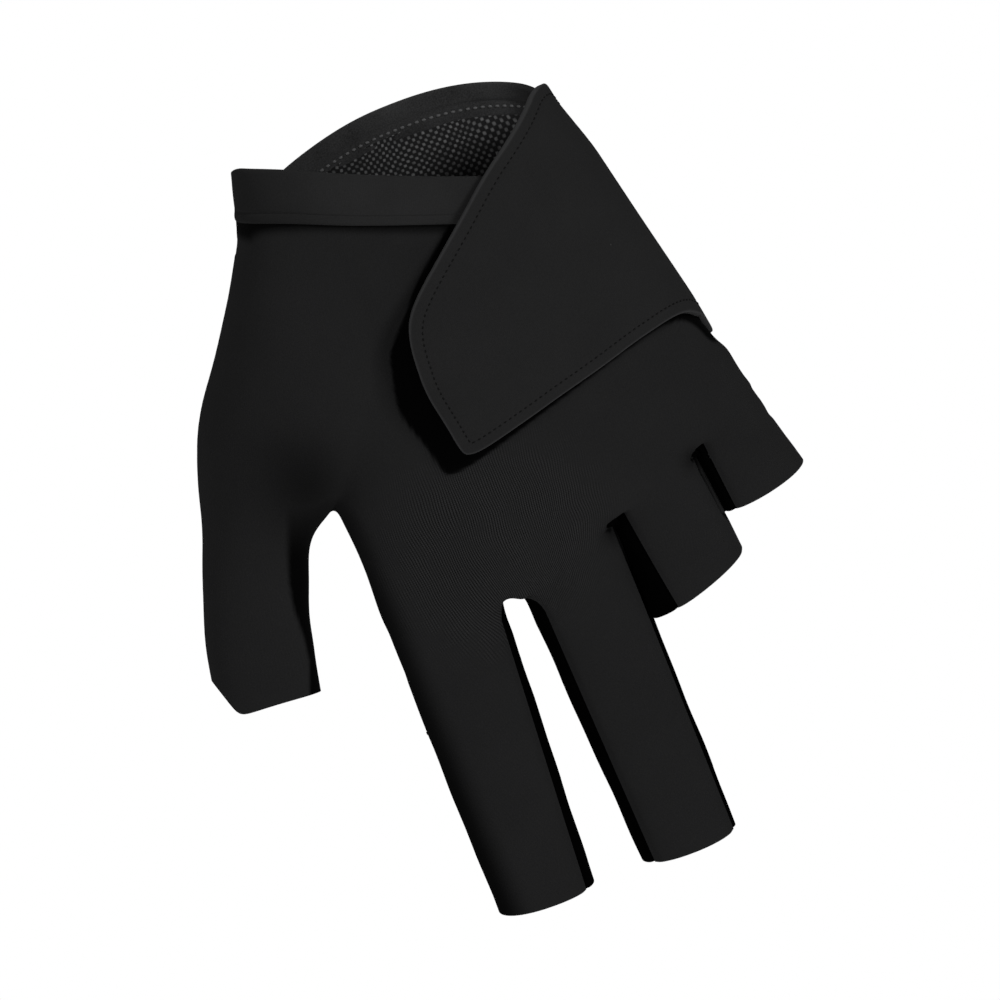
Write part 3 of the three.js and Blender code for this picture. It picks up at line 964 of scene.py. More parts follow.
@dataclass(frozen=True)
class Shading:
    """Where the back's cloth has painted shade and the strap's painted shadow, where the palm's cloth is
    darker, and how dark, with 1 for black.
    """

    hand: Hand
    rims: Rims
    strap_outline: Array
    # how dark the painted shade in the crotches is
    fold: float = 0.6
    palm: float = 0.4
    palm_across: tuple[float, float] = (-24 * MM, 0)
    palm_up: tuple[float, float] = (-40 * MM, -25 * MM)
    # the painted shadow that the strap casts on the back: its darkness, edge, reach and where it begins
    strap_shadow_darkness: float = 0.97
    strap_shadow_edge: float = 0.35 * MM
    strap_shadow_reach: tuple[float, float] = (5.6 * MM, 3.4 * MM)  # to the left and downwards
    strap_shadow_lifted: tuple[float, float] = (-0.16, 0.36)  # of the palm's breadth
    strap_shadow_start: tuple[float, float] = (31 * MM, 42 * MM)
    strap_shadow_bulge: float = 0.3
    bulge_down: float = 53 * MM
    bulge_height: float = 8 * MM
    strap_shadow_low: float = 1.3 * MM
    strap_shadow_low_up: tuple[float, float] = (-50 * MM, -30 * MM)
    # painted shade below the cuff: where across it fades, its width and how dark it is
    cuff_across: tuple[float, float] = (-34 * MM, 10 * MM)
    cuff_width: float = 2.5 * MM
    cuff_narrower: float = 0.7 * MM
    cuff: float = 0.88
    cuff_paler: float = 0.16
    # painted shade on the thumb's inner side and on its web
    thumb: float = 0.97
    thumb_down: tuple[float, float] = (54 * MM, 78 * MM)
    thumb_across: tuple[float, float] = (34 * MM, 42 * MM)
    web: float = 0.6
    web_x: float = 44 * MM
    web_z: float = 62 * MM
    web_breadth: float = 9 * MM
    web_height: float = 13 * MM

    def darkness(self, name: str, co: Array) -> Array:
        """How dark the cloth is made: on the back, the strap's painted shadow and painted shade below the
        cuff, inside the thumb and in the crotches; on the palm, darker towards the thumb's side and the
        top.

        Args:
            name: the panel's node.
            co: its points.

        Returns:
            0 for the cloth's own colour and 1 for black.
        """
        x, z = co[:, 0], co[:, 2]
        if name == "palm_panel":
            # the palm's cloth is darker towards the thumb's side and the top
            return self.palm * (1 - smoothstep(x, *self.palm_across)) * smoothstep(z, *self.palm_up)
        if name != "back_panel":
            return np.zeros(len(co))
        crotch = [fold.away(x, z) for fold in CROTCH_SHADE]
        painted_crotch_shade = self.fold * bell(np.min(crotch, axis=0), 1)
        return np.maximum.reduce([self.painted_strap_shadow(x, z), self.cuff_fold(x, z), self.thumb_side(x, z), painted_crotch_shade])

    def painted_strap_shadow(self, x: Array, z: Array) -> Array:
        """The strap's painted shadow on the back, round the strap's lifted end."""
        lifted = 1 - smoothstep(x / self.hand.palm_breadth, *self.strap_shadow_lifted)
        start = smoothstep(-z, *self.strap_shadow_start)
        bulge = 1 + self.strap_shadow_bulge * bell(z + self.bulge_down, self.bulge_height)
        right, up = self.strap_shadow_reach[0] * lifted * start * bulge, self.strap_shadow_reach[1] * lifted * start
        low = self.strap_shadow_low * (1 - smoothstep(z, *self.strap_shadow_low_up))
        moved = np.stack([x + right, z + up + low], axis=-1)
        outline, margin = self.strap_outline, 2 * MM
        near = (moved > outline.min(0) - margin).all(1) & (moved < outline.max(0) + margin).all(1)
        inside = np.full(len(x), -margin)
        inside[near] = signed_depth(moved[near], outline)
        return self.strap_shadow_darkness * smoothstep(inside, -self.strap_shadow_edge, self.strap_shadow_edge)

    def cuff_fold(self, x: Array, z: Array) -> Array:
        """Painted shade in the fold into which the cloth sinks below the cuff, deepest at the thumb's side.
        """
        below = np.maximum(self.rims.back_rim(x) - self.rims.cuff_width - z, 0)
        across = smoothstep(x, *self.cuff_across)
        width = self.cuff_width - self.cuff_narrower * across
        return (self.cuff - self.cuff_paler * across) * np.exp(-((below / width) ** 4))

    def thumb_side(self, x: Array, z: Array) -> Array:
        """Painted shade on the thumb's inner side and on the web above it."""
        downs = [row.down for row in THUMB_SHADE]
        edge = np.interp(-z / MM, downs, [row.x for row in THUMB_SHADE]) * MM
        soft = np.interp(-z / MM, downs, [row.soft for row in THUMB_SHADE]) * MM
        band = smoothstep(x - edge, -soft, soft) * smoothstep(-z, *self.thumb_down)
        band *= smoothstep(-x, *self.thumb_across)
        web = self.web * bell(x + self.web_x, self.web_breadth) * bell(z + self.web_z, self.web_height)
        return np.maximum(self.thumb * band, web)


@dataclass
class Panels:
    """The back, the palm and the three gussets, cut from the hand's surface."""

    rims: Rims
    shading: Shading
    wall: float = 1.1 * MM
    overlap: float = 0.9 * MM  # how far a seam's under side goes in below its upper side
    sink: float = 0.45 * MM
    sink_over: tuple[float, float] = (-0.5 * MM, 0.15 * MM)

    def in_gussets(self, co: Array) -> Array:
        """How far points lie inside the gussets' spaces, grown by the gap."""
        fields = [self.rims.gusset_field(i)(co) for i in range(len(GUSSETS))]
        return self.rims.gap - np.min(fields, axis=0)

    def back_field(self, co: Array) -> Array:
        """How far points lie above the back panel's upper edge."""
        width = self.rims.cuff_width
        return co[:, 2] - (self.rims.back_rim(co[:, 0]) - width + self.rims.tuck)

    def palm_field(self, co: Array) -> Array:
        """How far points lie above the palm panel's upper edge."""
        return co[:, 2] - (self.rims.palm_rim(co[:, 0]) - self.rims.hem_width + self.rims.tuck)

    def gusset(self, index: int) -> Field:
        """How far points lie outside one gusset, with its edge that goes in under the seams."""
        outside = self.rims.gusset_field(index)
        return lambda co: outside(co) - self.overlap

    def sink_edges(self, piece: bpy.types.Object, name: str) -> None:
        """Presses the edges of the pieces that lie under a seam below the cloth that covers them."""
        if name == "back_panel":
            return
        co = read_points(piece)
        if name == "palm_panel":
            beyond = -self.rims.seam_field(co)
        else:
            index = [row.node for row in GUSSETS].index(name)
            beyond = self.rims.gusset_field(index)(co)
        depth = self.sink * smoothstep(beyond, *self.sink_over)
        write_points(piece, co - read_normals(piece) * depth[:, None])

    def build(self, form: bpy.types.Object) -> dict[str, bpy.types.Object]:
        """Cuts the panels, lays their cloth maps and gives them their wall."""
        half_gap = self.rims.gap / 2
        recipes: dict[str, list[Field]] = {
            "back_panel": [
                lambda co: self.rims.seam_field(co) + half_gap,
                self.back_field,
                self.in_gussets,
            ],
            "palm_panel": [
                lambda co: -self.overlap - self.rims.seam_field(co),
                self.palm_field,
                self.in_gussets,
            ],
        }
        for i, row in enumerate(GUSSETS):
            recipes[row.node] = [self.gusset(i)]
        made = {}
        for name, fields in recipes.items():
            piece = cut_from(form, f"cloth_{name}", fields)
            self.sink_edges(piece, name)
            flatten_map(piece)
            # painted shade and the strap's painted shadow, kept as the 'shade' attribute
            write_attribute(piece, "shade", self.shading.darkness(name, read_points(piece)))
            thicken(piece, self.wall)
            shade_smoothly(piece)
            made[name] = piece
            log.info("%s: %d faces", name, len(piece.data.polygons))
        return made


@dataclass
class FlatBody:
    """The body's surface laid flat from the little finger's side: q runs across it and z along it."""

    hand: Hand
    top: float = 12 * MM
    bottom: float = -92 * MM
    reach: float = 96 * MM
    wrap: float = 24 * MM
    rows: int = 130
    across_steps: int = 500
    turn_steps: int = 700
    front_steps: int = 600
    first_turn: float = math.pi + 0.1
    last_turn: float = 2 * math.pi + 1.3
    heights: Array = field(init=False)
    across: Array = field(init=False)
    table: Array = field(init=False)

    def __post_init__(self) -> None:
        """Measures the section's length from the little finger's side at each height."""
        turn = np.linspace(self.first_turn, self.last_turn, self.turn_steps)
        self.heights = np.linspace(self.top, self.bottom, self.rows)
        points = self.hand.body_surface(turn[None, :], self.heights[:, None])
        steps = np.linalg.norm(np.diff(points, axis=1), axis=-1)
        arc = np.concatenate([np.zeros((self.rows, 1)), np.cumsum(steps, axis=1)], axis=1)
        at_side = np.array([np.interp(2 * math.pi, turn, row) for row in arc])
        self.across = np.linspace(-self.reach, self.wrap, self.across_steps)
        lines = [np.interp(self.across, row - start, turn) for row, start in zip(arc, at_side)]
        self.table = np.array(lines)

    def turn_at(self, q: Array, z: Array) -> Array:
        """The turn of places on the flat surface."""
        row = np.clip((z - self.top) / (self.bottom - self.top), 0, 1) * (self.rows - 1)
        column = np.clip((q + self.reach) / (self.reach + self.wrap), 0, 1) * (len(self.across) - 1)
        r = np.minimum(row.astype(int), self.rows - 2)
        c = np.minimum(column.astype(int), len(self.across) - 2)
        fr, fc = row - r, column - c
        upper = self.table[r, c] * (1 - fc) + self.table[r, c + 1] * fc
        lower = self.table[r + 1, c] * (1 - fc) + self.table[r + 1, c + 1] * fc
        return upper * (1 - fr) + lower * fr

    def flat_across(self, x: Array, z: Array) -> Array:
        """q of places of the front view on the back; past the silhouette it goes straight on."""
        found = []
        for px, pz in zip(x, z):
            turn = np.linspace(self.first_turn, 2 * math.pi, self.front_steps)
            points = self.hand.body_surface(turn, np.full(self.front_steps, pz))
            arc = arc_lengths(points)
            beyond = px - points[-1, 0]
            found.append(beyond if beyond > 0 else np.interp(px, points[:, 0], arc - arc[-1]))
        return np.array(found)

    def place(self, q: Array, z: Array, height: Array) -> Array:
        """Points at a height over places of the flat surface."""
        point, normal = self.hand.body_frame(self.turn_at(q, z), z)
        return point + normal * np.asarray(height)[..., None]


def rounded_outline(corners: Array, most: float, rounds: int = 3) -> Array:
    """Cuts the corners of a closed outline again and again, each by at most a given length."""
    for _ in range(rounds):
        following = np.roll(corners, -1, axis=0)
        length = np.linalg.norm(following - corners, axis=1, keepdims=True)
        share = np.minimum(0.25, most / np.maximum(length, 1e-9))
        first = corners + (following - corners) * share
        second = following - (following - corners) * share
        corners = np.stack([first, second], axis=1).reshape(-1, 2)
        most /= 2
    return corners


def resampled(outline: Array, spacing: float) -> Array:
    """A closed outline with evenly spaced points."""
    closed = np.concatenate([outline, outline[:1]])
    arc = arc_lengths(closed)
    count = max(int(round(arc[-1] / spacing)), 8)
    at = np.arange(count) / count * arc[-1]
    return np.stack([np.interp(at, arc, closed[:, 0]), np.interp(at, arc, closed[:, 1])], axis=-1)


def inward_normals(outline: Array) -> Array:
    """Unit normals that point into a closed outline."""
    tangent = np.roll(outline, -1, axis=0) - np.roll(outline, 1, axis=0)
    normal = np.stack([-tangent[:, 1], tangent[:, 0]], axis=-1)
    normal /= np.linalg.norm(normal, axis=1, keepdims=True)
    x, y = outline.T
    area = (x * np.roll(y, -1) - np.roll(x, -1) * y).sum()
    return normal if area > 0 else -normal


def depth_inside(points: Array, outline: Array) -> Array:
    """The distance of points from a closed outline."""
    start, end = outline, np.roll(outline, -1, axis=0)
    side = end - start
    away = points[:, None, :] - start[None, :, :]
    share = np.clip((away * side).sum(-1) / (side * side).sum(-1), 0, 1)
    return np.linalg.norm(away - share[..., None] * side, axis=-1).min(axis=1)


def flat_mesh(
    outline: Array, rings: Sequence[float], spacing: float
) -> tuple[Array, list[list[int]], Array]:
    """Triangles inside an outline, with rings of points that follow its edge.

    Args:
        outline: a closed outline with evenly spaced points.
        rings: the rings' distances from the edge.
        spacing: of the points in the middle.

    Returns:
        The points, the triangles and each point's distance from the edge.
    """
    inward = inward_normals(outline)
    sets = [outline]
    for ring in rings:
        moved = outline + inward * ring
        depth = depth_inside(moved, outline)
        sets.append(moved[depth > ring - 0.02 * MM])
    low, high = outline.min(0), outline.max(0)
    columns_at, rows_at = np.arange(low[0], high[0], spacing), np.arange(low[1], high[1], spacing)
    grid = np.stack(np.meshgrid(columns_at, rows_at), -1).reshape(-1, 2)
    grid[:, 0] += (np.round((grid[:, 1] - low[1]) / spacing) % 2) * spacing / 2
    sets.append(grid[signed_depth(grid, outline) > rings[-1] + spacing * 0.6])
    points = np.concatenate(sets) / MM
    count = len(outline)
    edges = [(i, (i + 1) % count) for i in range(count)]
    laid = geometry.delaunay_2d_cdt([Vector(p) for p in points.tolist()], edges, [], 1, 1e-6)
    flat = np.array([v[:] for v in laid[0]]) * MM
    faces = [list(face) for face in laid[2]]
    return flat, faces, depth_inside(flat, outline)


def closed_sheet(
    name: str, outline: Array, flat: Array, faces: list[list[int]], upper: Array, lower: Array
) -> bpy.types.Object:
    """A sheet of cloth with its wall: two faces and the strip that joins them along the edge.

    Args:
        name: the object's name.
        outline: the sheet's edge, laid flat.
        flat: the faces' points, laid flat, which become the cloth map.
        faces: the triangles of one face.
        upper: the points of the upper face.
        lower: the points of the lower face.

    Returns:
        The sheet's object.
    """
    count = len(flat)
    border = [int(np.argmin(np.linalg.norm(flat - p, axis=1))) for p in outline]
    sheets = faces + [[v + count for v in face[::-1]] for face in faces]
    for a, b in zip(border, border[1:] + border[:1]):
        sheets.append([a, b, b + count, a + count])
    sheet = mesh_object(name, np.concatenate([upper, lower]), sheets)
    write_map(sheet, np.concatenate([flat, flat]))
    face_outwards(sheet)
    return sheet


class Stitch(NamedTuple):
    """One stitch's size."""

    length: float
    width: float
    height: float
    pitch: float


def thread_row(name: str, path: Array, outward: Array, stitch: Stitch) -> bpy.types.Object:
    """A row of stitches along a path, as one mesh.

    Args:
        name: the object's name.
        path: the points of the path.
        outward: the surface's normals at those points.
        stitch: the size of one stitch and the pitch of the row.

    Returns:
        The row's object.
    """
    bpy.ops.object.select_all(action="DESELECT")
    bpy.ops.mesh.primitive_uv_sphere_add(segments=6, ring_count=4, radius=0.5)
    seed = bpy.context.object
    template = read_points(seed)
    shapes = [list(face.vertices) for face in seed.data.polygons]
    bpy.data.objects.remove(seed)
    template = template[:, [2, 0, 1]] * [stitch.length, stitch.width, stitch.height]
    arc = arc_lengths(path)
    at = np.arange(stitch.pitch / 2, arc[-1], stitch.pitch)

    def along_row(where: Array, values: Array) -> Array:
        """The values at some lengths along the path."""
        return np.stack([np.interp(where, arc, values[:, k]) for k in range(3)], axis=-1)

    centre, up = along_row(at, path), along_row(at, outward)
    ahead, behind = along_row(at + stitch.pitch / 4, path), along_row(at - stitch.pitch / 4, path)
    up /= np.linalg.norm(up, axis=1, keepdims=True)
    along = ahead - behind
    along -= up * (along * up).sum(1, keepdims=True)
    along /= np.linalg.norm(along, axis=1, keepdims=True)
    basis = np.stack([along, np.cross(up, along), up], axis=1)
    points = (centre[:, None, :] + np.einsum("vk,skj->svj", template, basis)).reshape(-1, 3)
    faces = [[v + s * len(template) for v in shape] for s in range(len(at)) for shape in shapes]
    obj = mesh_object(name, points, faces)
    face_outwards(obj)
    shade_smoothly(obj, 80)
    return obj


@dataclass
class Strap:
    """The closure strap: foam-backed cloth, folded over the back from the little finger's side."""

    body: FlatBody
    root: float = 0.545 * 90 * MM
    reach: float = 62 * MM
    length: float = 76 * MM
    wrap: float = 8 * MM
    seat: float = 0.75 * MM
    corner_sink: float = 1.3 * MM  # its top corner lies close to the wrist
    wall: float = 1.7 * MM
    tip_lift: float = 5.5 * MM
    lift_from: float = 0.4
    lift_to: float = -0.15
    low_lift: float = 0.45
    corner_cut: float = 2.0 * MM
    stitch_inset: float = 2.5 * MM
    stitch_dip: float = 0.07 * MM
    dip_width: float = 0.34 * MM
    stitch_sink: float = 0.12 * MM
    cut_edge: tuple[float, float] = (0.1 * MM, 0.5 * MM)  # how far in the paler cut edge fades
    pressed_border: tuple[float, float] = (1.9 * MM, 2.6 * MM)
    edge_round: float = 0.4 * MM
    edge_share: float = 0.74  # of the strap's thickness is left at its very edge
    plump: float = 0.05 * MM
    plump_reach: float = 4 * MM
    press: float = 0.1 * MM
    edge_spacing: float = 0.65 * MM
    spacing: float = 1.15 * MM
    sunk_down: tuple[float, float] = (-24 * MM, -7 * MM)
    sunk_across: tuple[float, float] = (-9 * MM, 0)
    sewn_from: float = 3.5 * MM  # inside the strap's root
    stitch: Stitch = Stitch(0.72 * MM, 0.36 * MM, 0.26 * MM, 1.3 * MM)
    rings: tuple[float, ...] = tuple(
        v * MM for v in (0.08, 0.2, 0.36, 0.58, 0.95, 1.45, 1.95, 2.25, 2.5, 2.75, 3.05, 3.6, 4.3)
    )

    def lift(self, x: Array, z: Array) -> Array:
        """How far the strap stands off the back."""
        breadth = self.body.hand.palm_breadth
        to_tip = 1 - smoothstep(x / breadth, self.lift_to, self.lift_from)
        low = smoothstep(-z / self.length, 0.5, 0.9)
        return self.tip_lift * to_tip * (1 + (self.low_lift - 1) * low)

    def front_outline(self) -> Array:
        """The strap's outline in the front view."""
        front = [[self.root - row.across * self.reach, -row.down * self.length] for row in STRAP_EDGE]
        return rounded_outline(np.array(front), self.corner_cut)

    def outline(self) -> Array:
        """The strap's outline, laid flat."""
        front = self.front_outline()
        q = np.minimum(self.body.flat_across(front[:, 0], front[:, 1]), self.wrap)
        return resampled(np.stack([q, front[:, 1]], axis=-1), self.edge_spacing)

    def over(self, flat: Array, height: Array) -> Array:
        """Points over places of the flat surface, raised by the strap's lift."""
        ground = self.body.place(flat[:, 0], flat[:, 1], np.zeros(len(flat)))
        corner = smoothstep(flat[:, 1], *self.sunk_down) * smoothstep(flat[:, 0], *self.sunk_across)
        raised = height + self.lift(ground[:, 0], ground[:, 2]) - self.corner_sink * corner
        return self.body.place(flat[:, 0], flat[:, 1], raised)

    def half_thickness(self, depth: Array) -> Array:
        """Half the strap's thickness, less at its pressed edge and its row of stitches."""
        share = np.clip(depth / self.edge_round, 0, 1)
        rounded = self.edge_share + (1 - self.edge_share) * np.sqrt(1 - (1 - share) ** 2)
        dip = self.stitch_dip * bell(depth - self.stitch_inset, self.dip_width)
        plump = self.plump * smoothstep(depth, self.stitch_inset, self.stitch_inset + self.plump_reach)
        return (self.wall / 2 - self.press) * rounded - dip + plump

    def build(self) -> list[bpy.types.Object]:
        """Makes the strap and its row of edge stitches."""
        outline = self.outline()
        flat, faces, depth = flat_mesh(outline, self.rings, self.spacing)
        half = self.half_thickness(depth)
        middle = self.seat + self.wall / 2
        upper, lower = self.over(flat, middle + half), self.over(flat, middle - half)
        strap = closed_sheet("strap_flap", outline, flat, faces, upper, lower)
        write_attribute(strap, "edge", np.tile(1 - smoothstep(depth, *self.cut_edge), 2))
        write_attribute(strap, "border", np.tile(1 - smoothstep(depth, *self.pressed_border), 2))
        shade_smoothly(strap, 42)
        log.info("strap: %d faces", len(strap.data.polygons))
        return [strap, self.sew(outline)]

    def declare(self) -> None:
        """Works out the strap's outline and does not use it."""
        outline = self.outline()

    def sew(self, outline: Array) -> bpy.types.Object:
        """The row of stitches inside the strap's free edge."""
        path = outline + inward_normals(outline) * self.stitch_inset
        keep = depth_inside(path, outline) > self.stitch_inset - 0.1 * MM
        free = path[:, 0] < self.wrap - self.sewn_from
        order = np.flatnonzero(keep & free)
        gap = int(np.argmax(np.diff(np.concatenate([order, [order[0] + len(path)]]))))
        order = np.roll(order, -(gap + 1))
        path = path[order]
        height = np.full(len(path), self.seat + self.wall - self.stitch_sink)
        placed = self.over(path, height)
        above = self.over(path, height + 0.5 * MM)
        return thread_row("strap_stitches", placed, above - placed, self.stitch)


@dataclass
class HookPatch:
    """The hidden fastener on the back of the hand, under the strap's tip."""

    body: FlatBody
    breadth: float = 22 * MM
    height: float = 20 * MM
    inset: float = 4.5 * MM
    seat: float = 0.35 * MM
    wall: float = 0.95 * MM
    corner: float = 1.6 * MM
    edge_round: float = 0.4 * MM
    edge_spacing: float = 0.6 * MM
    spacing: float = 0.9 * MM
    rings: tuple[float, ...] = (0.15 * MM, 0.35 * MM, 0.7 * MM)

    def build(self, strap: Strap) -> bpy.types.Object:
        """Makes the patch as a thin sheet with rounded corners."""
        tip = max(row.down for row in STRAP_EDGE if row.across > 0.5)
        left = strap.root - strap.reach + self.inset
        low = -tip * strap.length + self.inset
        right, high = left + self.breadth, low + self.height
        front = np.array([[left, low], [right, low], [right, high], [left, high]])
        front = resampled(rounded_outline(front, self.corner), self.edge_spacing)
        q = self.body.flat_across(front[:, 0], front[:, 1])
        outline = np.stack([q, front[:, 1]], axis=-1)
        flat, faces, depth = flat_mesh(outline, self.rings, self.spacing)
        half = self.wall / 2 * (0.6 + 0.4 * smoothstep(depth, 0, self.edge_round))
        middle = self.seat + self.wall / 2
        upper = self.body.place(flat[:, 0], flat[:, 1], middle + half)
        lower = self.body.place(flat[:, 0], flat[:, 1], middle - half)
        patch = closed_sheet("hook_tape", outline, flat, faces, upper, lower)
        shade_smoothly(patch, 40)
        return patch


class ProfilePoint(NamedTuple):
    """One point of a folded band's section: down from its edge and out from the hand, in millimetres."""

    down: float
    out: float


def profile(*places: tuple[float, float]) -> tuple[ProfilePoint, ...]:
    """A band's section from pairs of down and out."""
    return tuple(ProfilePoint(*place) for place in places)


CUFF_PROFILE = profile(
    (0, -0.35), (0.12, 0.08), (0.42, 0.4), (0.9, 0.53), (2.4, 0.6), (4.8, 0.66), (7.2, 0.64),
    (8.4, 0.58), (8.85, 0.46), (9.05, 0.14), (9.2, 0.14), (9.42, 0.5), (9.8, 0.66), (10.5, 0.66),
    (11.05, 0.46), (11.35, 0.1), (11.5, -0.4), (11.3, -0.9), (10.8, -1.15), (9.6, -1.2), (6, -1.2),
    (3, -1.2), (1, -1.18), (0.4, -1.05), (0.1, -0.75),
)

HEM_PROFILE = profile(
    (0, -0.35), (0.12, 0.08), (0.45, 0.4), (1, 0.5), (2.5, 0.52), (4.4, 0.5), (5.6, 0.36), (6.3, 0.3),
    (7, 0.38), (7.6, 0.3), (7.95, 0), (8, -0.4), (7.95, -0.9), (7.6, -1.2), (7, -1.24), (6.4, -1.22),
    (5.9, -1.14), (5.5, -1.08), (5, -1.08), (4.65, -0.9), (4.35, -0.75), (4.05, -0.85), (3.7, -1.2),
    (2.8, -1.36), (1.8, -1.32), (0.9, -1.22), (0.4, -1.08), (0.1, -0.78),
)


@dataclass
class FoldedBand:
    """A folded strip of cloth along one half of the wrist opening."""

    hand: Hand
    name: str
    rim: Field
    profile: Sequence[ProfilePoint]
    turn_from: float
    turn_to: float
    stations: int = 260
    ripple: float = 0.07 * MM
    end_share: float = 0.1
    end_out: float = -0.4  # where the outer face ends up at the band's ends, in millimetres
    inner_map: float = 30 * MM  # how far the inner face's cloth map is moved aside
    corner: float = 2.6 * MM
    corner_turn: float = 0.45
    corner_depth: float = 3.5 * MM

    def line(self, turn: Array, down: float, out: float | Array) -> tuple[Array, Array]:
        """Points at a distance below the rim and out from the hand, and the normals there."""
        z = np.zeros(len(turn))
        from_end = np.clip(np.minimum(turn - self.turn_from, self.turn_to - turn) / self.corner_turn, 0, 1)
        corner = self.corner * (1 - from_end) ** 2 * (1 - min(down / self.corner_depth, 1)) ** 2
        for _ in range(4):
            z = self.rim(self.hand.body_surface(turn, z)[:, 0]) - corner
        point, normal = self.hand.body_frame(turn, z - down)
        return point + normal * np.broadcast_to(out, turn.shape)[:, None], normal

    def build(self) -> bpy.types.Object:
        """Sweeps the folded section along the rim."""
        turn = np.linspace(self.turn_from, self.turn_to, self.stations)
        width = max(p.down for p in self.profile) * MM
        loops, flats = [], []
        reach = np.linspace(0, 1, self.stations)
        for p in self.profile:
            wave = np.sin(reach * 41 + p.down) * np.sin(reach * 13.7 + 0.6) * self.ripple
            wave *= math.sin(math.pi * min(p.down * MM / width, 1))
            flat = smoothstep(np.minimum(reach, 1 - reach), 0, self.end_share)
            outer = p.out > self.end_out
            out = p.out * flat + self.end_out * (1 - flat) if outer else p.out
            points, _ = self.line(turn, p.down * MM, out * MM + wave)
            loops.append(points)
            down = np.full(self.stations, -p.down * MM + (0 if outer else self.inner_map))
            flats.append(np.stack([arc_lengths(points), down], -1))
        points = np.stack(loops, axis=1).reshape(-1, 3)
        band = mesh_object(self.name, points, tube_faces(self.stations, len(self.profile)))
        write_map(band, np.stack(flats, axis=1).reshape(-1, 2))
        subdivide = band.modifiers.new("Softness", "SUBSURF")
        subdivide.levels = 1
        subdivide.render_levels = 1
        apply_modifiers(band)
        face_outwards(band)
        shade_smoothly(band, 60)
        log.info("%s: %d faces", self.name, len(band.data.polygons))
        return band


class Graph:
    """A node tree with short ways to add and join its nodes."""

    def __init__(self, tree: bpy.types.NodeTree) -> None:
        """Keeps the tree and clears it."""
        self.tree = tree
        tree.nodes.clear()

    def add(self, kind: str, inputs: dict | None = None, **settings: object) -> bpy.types.Node:
        """Adds a node.

        Args:
            kind: the node's type.
            inputs: values or output sockets for its inputs, by name or number.
            settings: its properties.

        Returns:
            The node.
        """
        node = self.tree.nodes.new(kind)
        for name, value in settings.items():
            setattr(node, name, value)
        for key, value in (inputs or {}).items():
            if isinstance(value, bpy.types.NodeSocket):
                self.tree.links.new(value, node.inputs[key])
            else:
                node.inputs[key].default_value = value
        return node

    def group(self, tree: bpy.types.NodeTree, **inputs: object) -> bpy.types.Node:
        """A shared node group with values or sockets for its inputs."""
        node = self.add("ShaderNodeGroup", {}, node_tree=tree)
        for name, value in inputs.items():
            if isinstance(value, bpy.types.NodeSocket):
                self.tree.links.new(value, node.inputs[name])
            else:
                node.inputs[name].default_value = value
        return node

    def math(self, operation: str, *values: object) -> bpy.types.NodeSocket:
        """The result of a math node."""
        return self.add("ShaderNodeMath", dict(enumerate(values)), operation=operation).outputs[0]

    def scaled(self, vector: bpy.types.NodeSocket, scale: Sequence[float]) -> bpy.types.NodeSocket:
        """A vector multiplied by three numbers."""
        node = self.add("ShaderNodeVectorMath", {0: vector, 1: tuple(scale)}, operation="MULTIPLY")
        return node.outputs[0]

    def ramp(
        self, value: bpy.types.NodeSocket, low: float, high: float, start: float = 0, end: float = 1
    ) -> bpy.types.NodeSocket:
        """A smooth step of a value from one range into another."""
        inputs = {0: value, 1: low, 2: high, 3: start, 4: end}
        return self.add("ShaderNodeMapRange", inputs, interpolation_type="SMOOTHSTEP").outputs[0]

    def blend(self, factor: object, first: object, second: object) -> bpy.types.NodeSocket:
        """A mix of two colours."""
        node = self.add("ShaderNodeMix", {0: factor, 6: first, 7: second}, data_type="RGBA")
        return node.outputs[2]


def new_material(name: str) -> tuple[bpy.types.Material, Graph]:
    """An empty material, and the graph of its nodes."""
    material = bpy.data.materials.new(name)
    material.use_nodes = True
    return material, Graph(material.node_tree)


def shared_group(
    name: str, inputs: Sequence[tuple], outputs: Sequence[tuple]
) -> tuple[Graph, Callable, Callable]:
    """Starts a shader node group with named sockets.

    Args:
        name: the group's name.
        inputs: each input's name, socket type and default.
        outputs: each output's name and socket type.

    Returns:
        Its graph, a function that gives an input's socket, and one that sends a socket to an output.
    """
    tree = bpy.data.node_groups.new(name, "ShaderNodeTree")
    for label, kind, default in inputs:
        socket = tree.interface.new_socket(label, in_out="INPUT", socket_type=kind)
        if default is not None:
            socket.default_value = default
    for label, kind in outputs:
        tree.interface.new_socket(label, in_out="OUTPUT", socket_type=kind)
    graph = Graph(tree)
    entry = tree.nodes.new("NodeGroupInput")
    leave = tree.nodes.new("NodeGroupOutput")

    def send(label: str, value: bpy.types.NodeSocket) -> None:
        """Sends a socket to a named output."""
        tree.links.new(value, leave.inputs[label])

    return graph, lambda label: entry.outputs[label], send


def rib_group() -> bpy.types.NodeTree:
    """A fine ribbed knit: loops stacked in wales along the cloth."""
    graph, given, send = shared_group(
        "ribbed_knit",
        [
            ("Vector", "NodeSocketVector", None),
            ("Wale", "NodeSocketFloat", 0.5),
            ("Course", "NodeSocketFloat", 0.4),
        ],
        [("Height", "NodeSocketFloat")],
    )
    wander = graph.add("ShaderNodeTexNoise", {"Vector": given("Vector"), "Scale": 0.09, "Detail": 1.0})
    parts = graph.add("ShaderNodeSeparateXYZ", {0: given("Vector")})
    drift = graph.math("MULTIPLY", graph.math("SUBTRACT", wander.outputs[0], 0.5), 2.2)
    across = graph.math("DIVIDE", graph.math("ADD", parts.outputs[0], drift), given("Wale"))
    wale = graph.math("ABSOLUTE", graph.math("SINE", graph.math("MULTIPLY", across, math.pi)))
    side = graph.math("PINGPONG", across, 0.5)
    row = graph.math("DIVIDE", parts.outputs[1], given("Course"))
    stagger = graph.math("ADD", row, graph.math("MULTIPLY", side, 1.1))
    course = graph.math("ABSOLUTE", graph.math("SINE", graph.math("MULTIPLY", stagger, math.pi)))
    rounded = graph.math("MULTIPLY_ADD", course, 0.45, 0.55)
    send("Height", graph.math("MULTIPLY", graph.math("POWER", wale, 0.6), rounded))
    return graph.tree


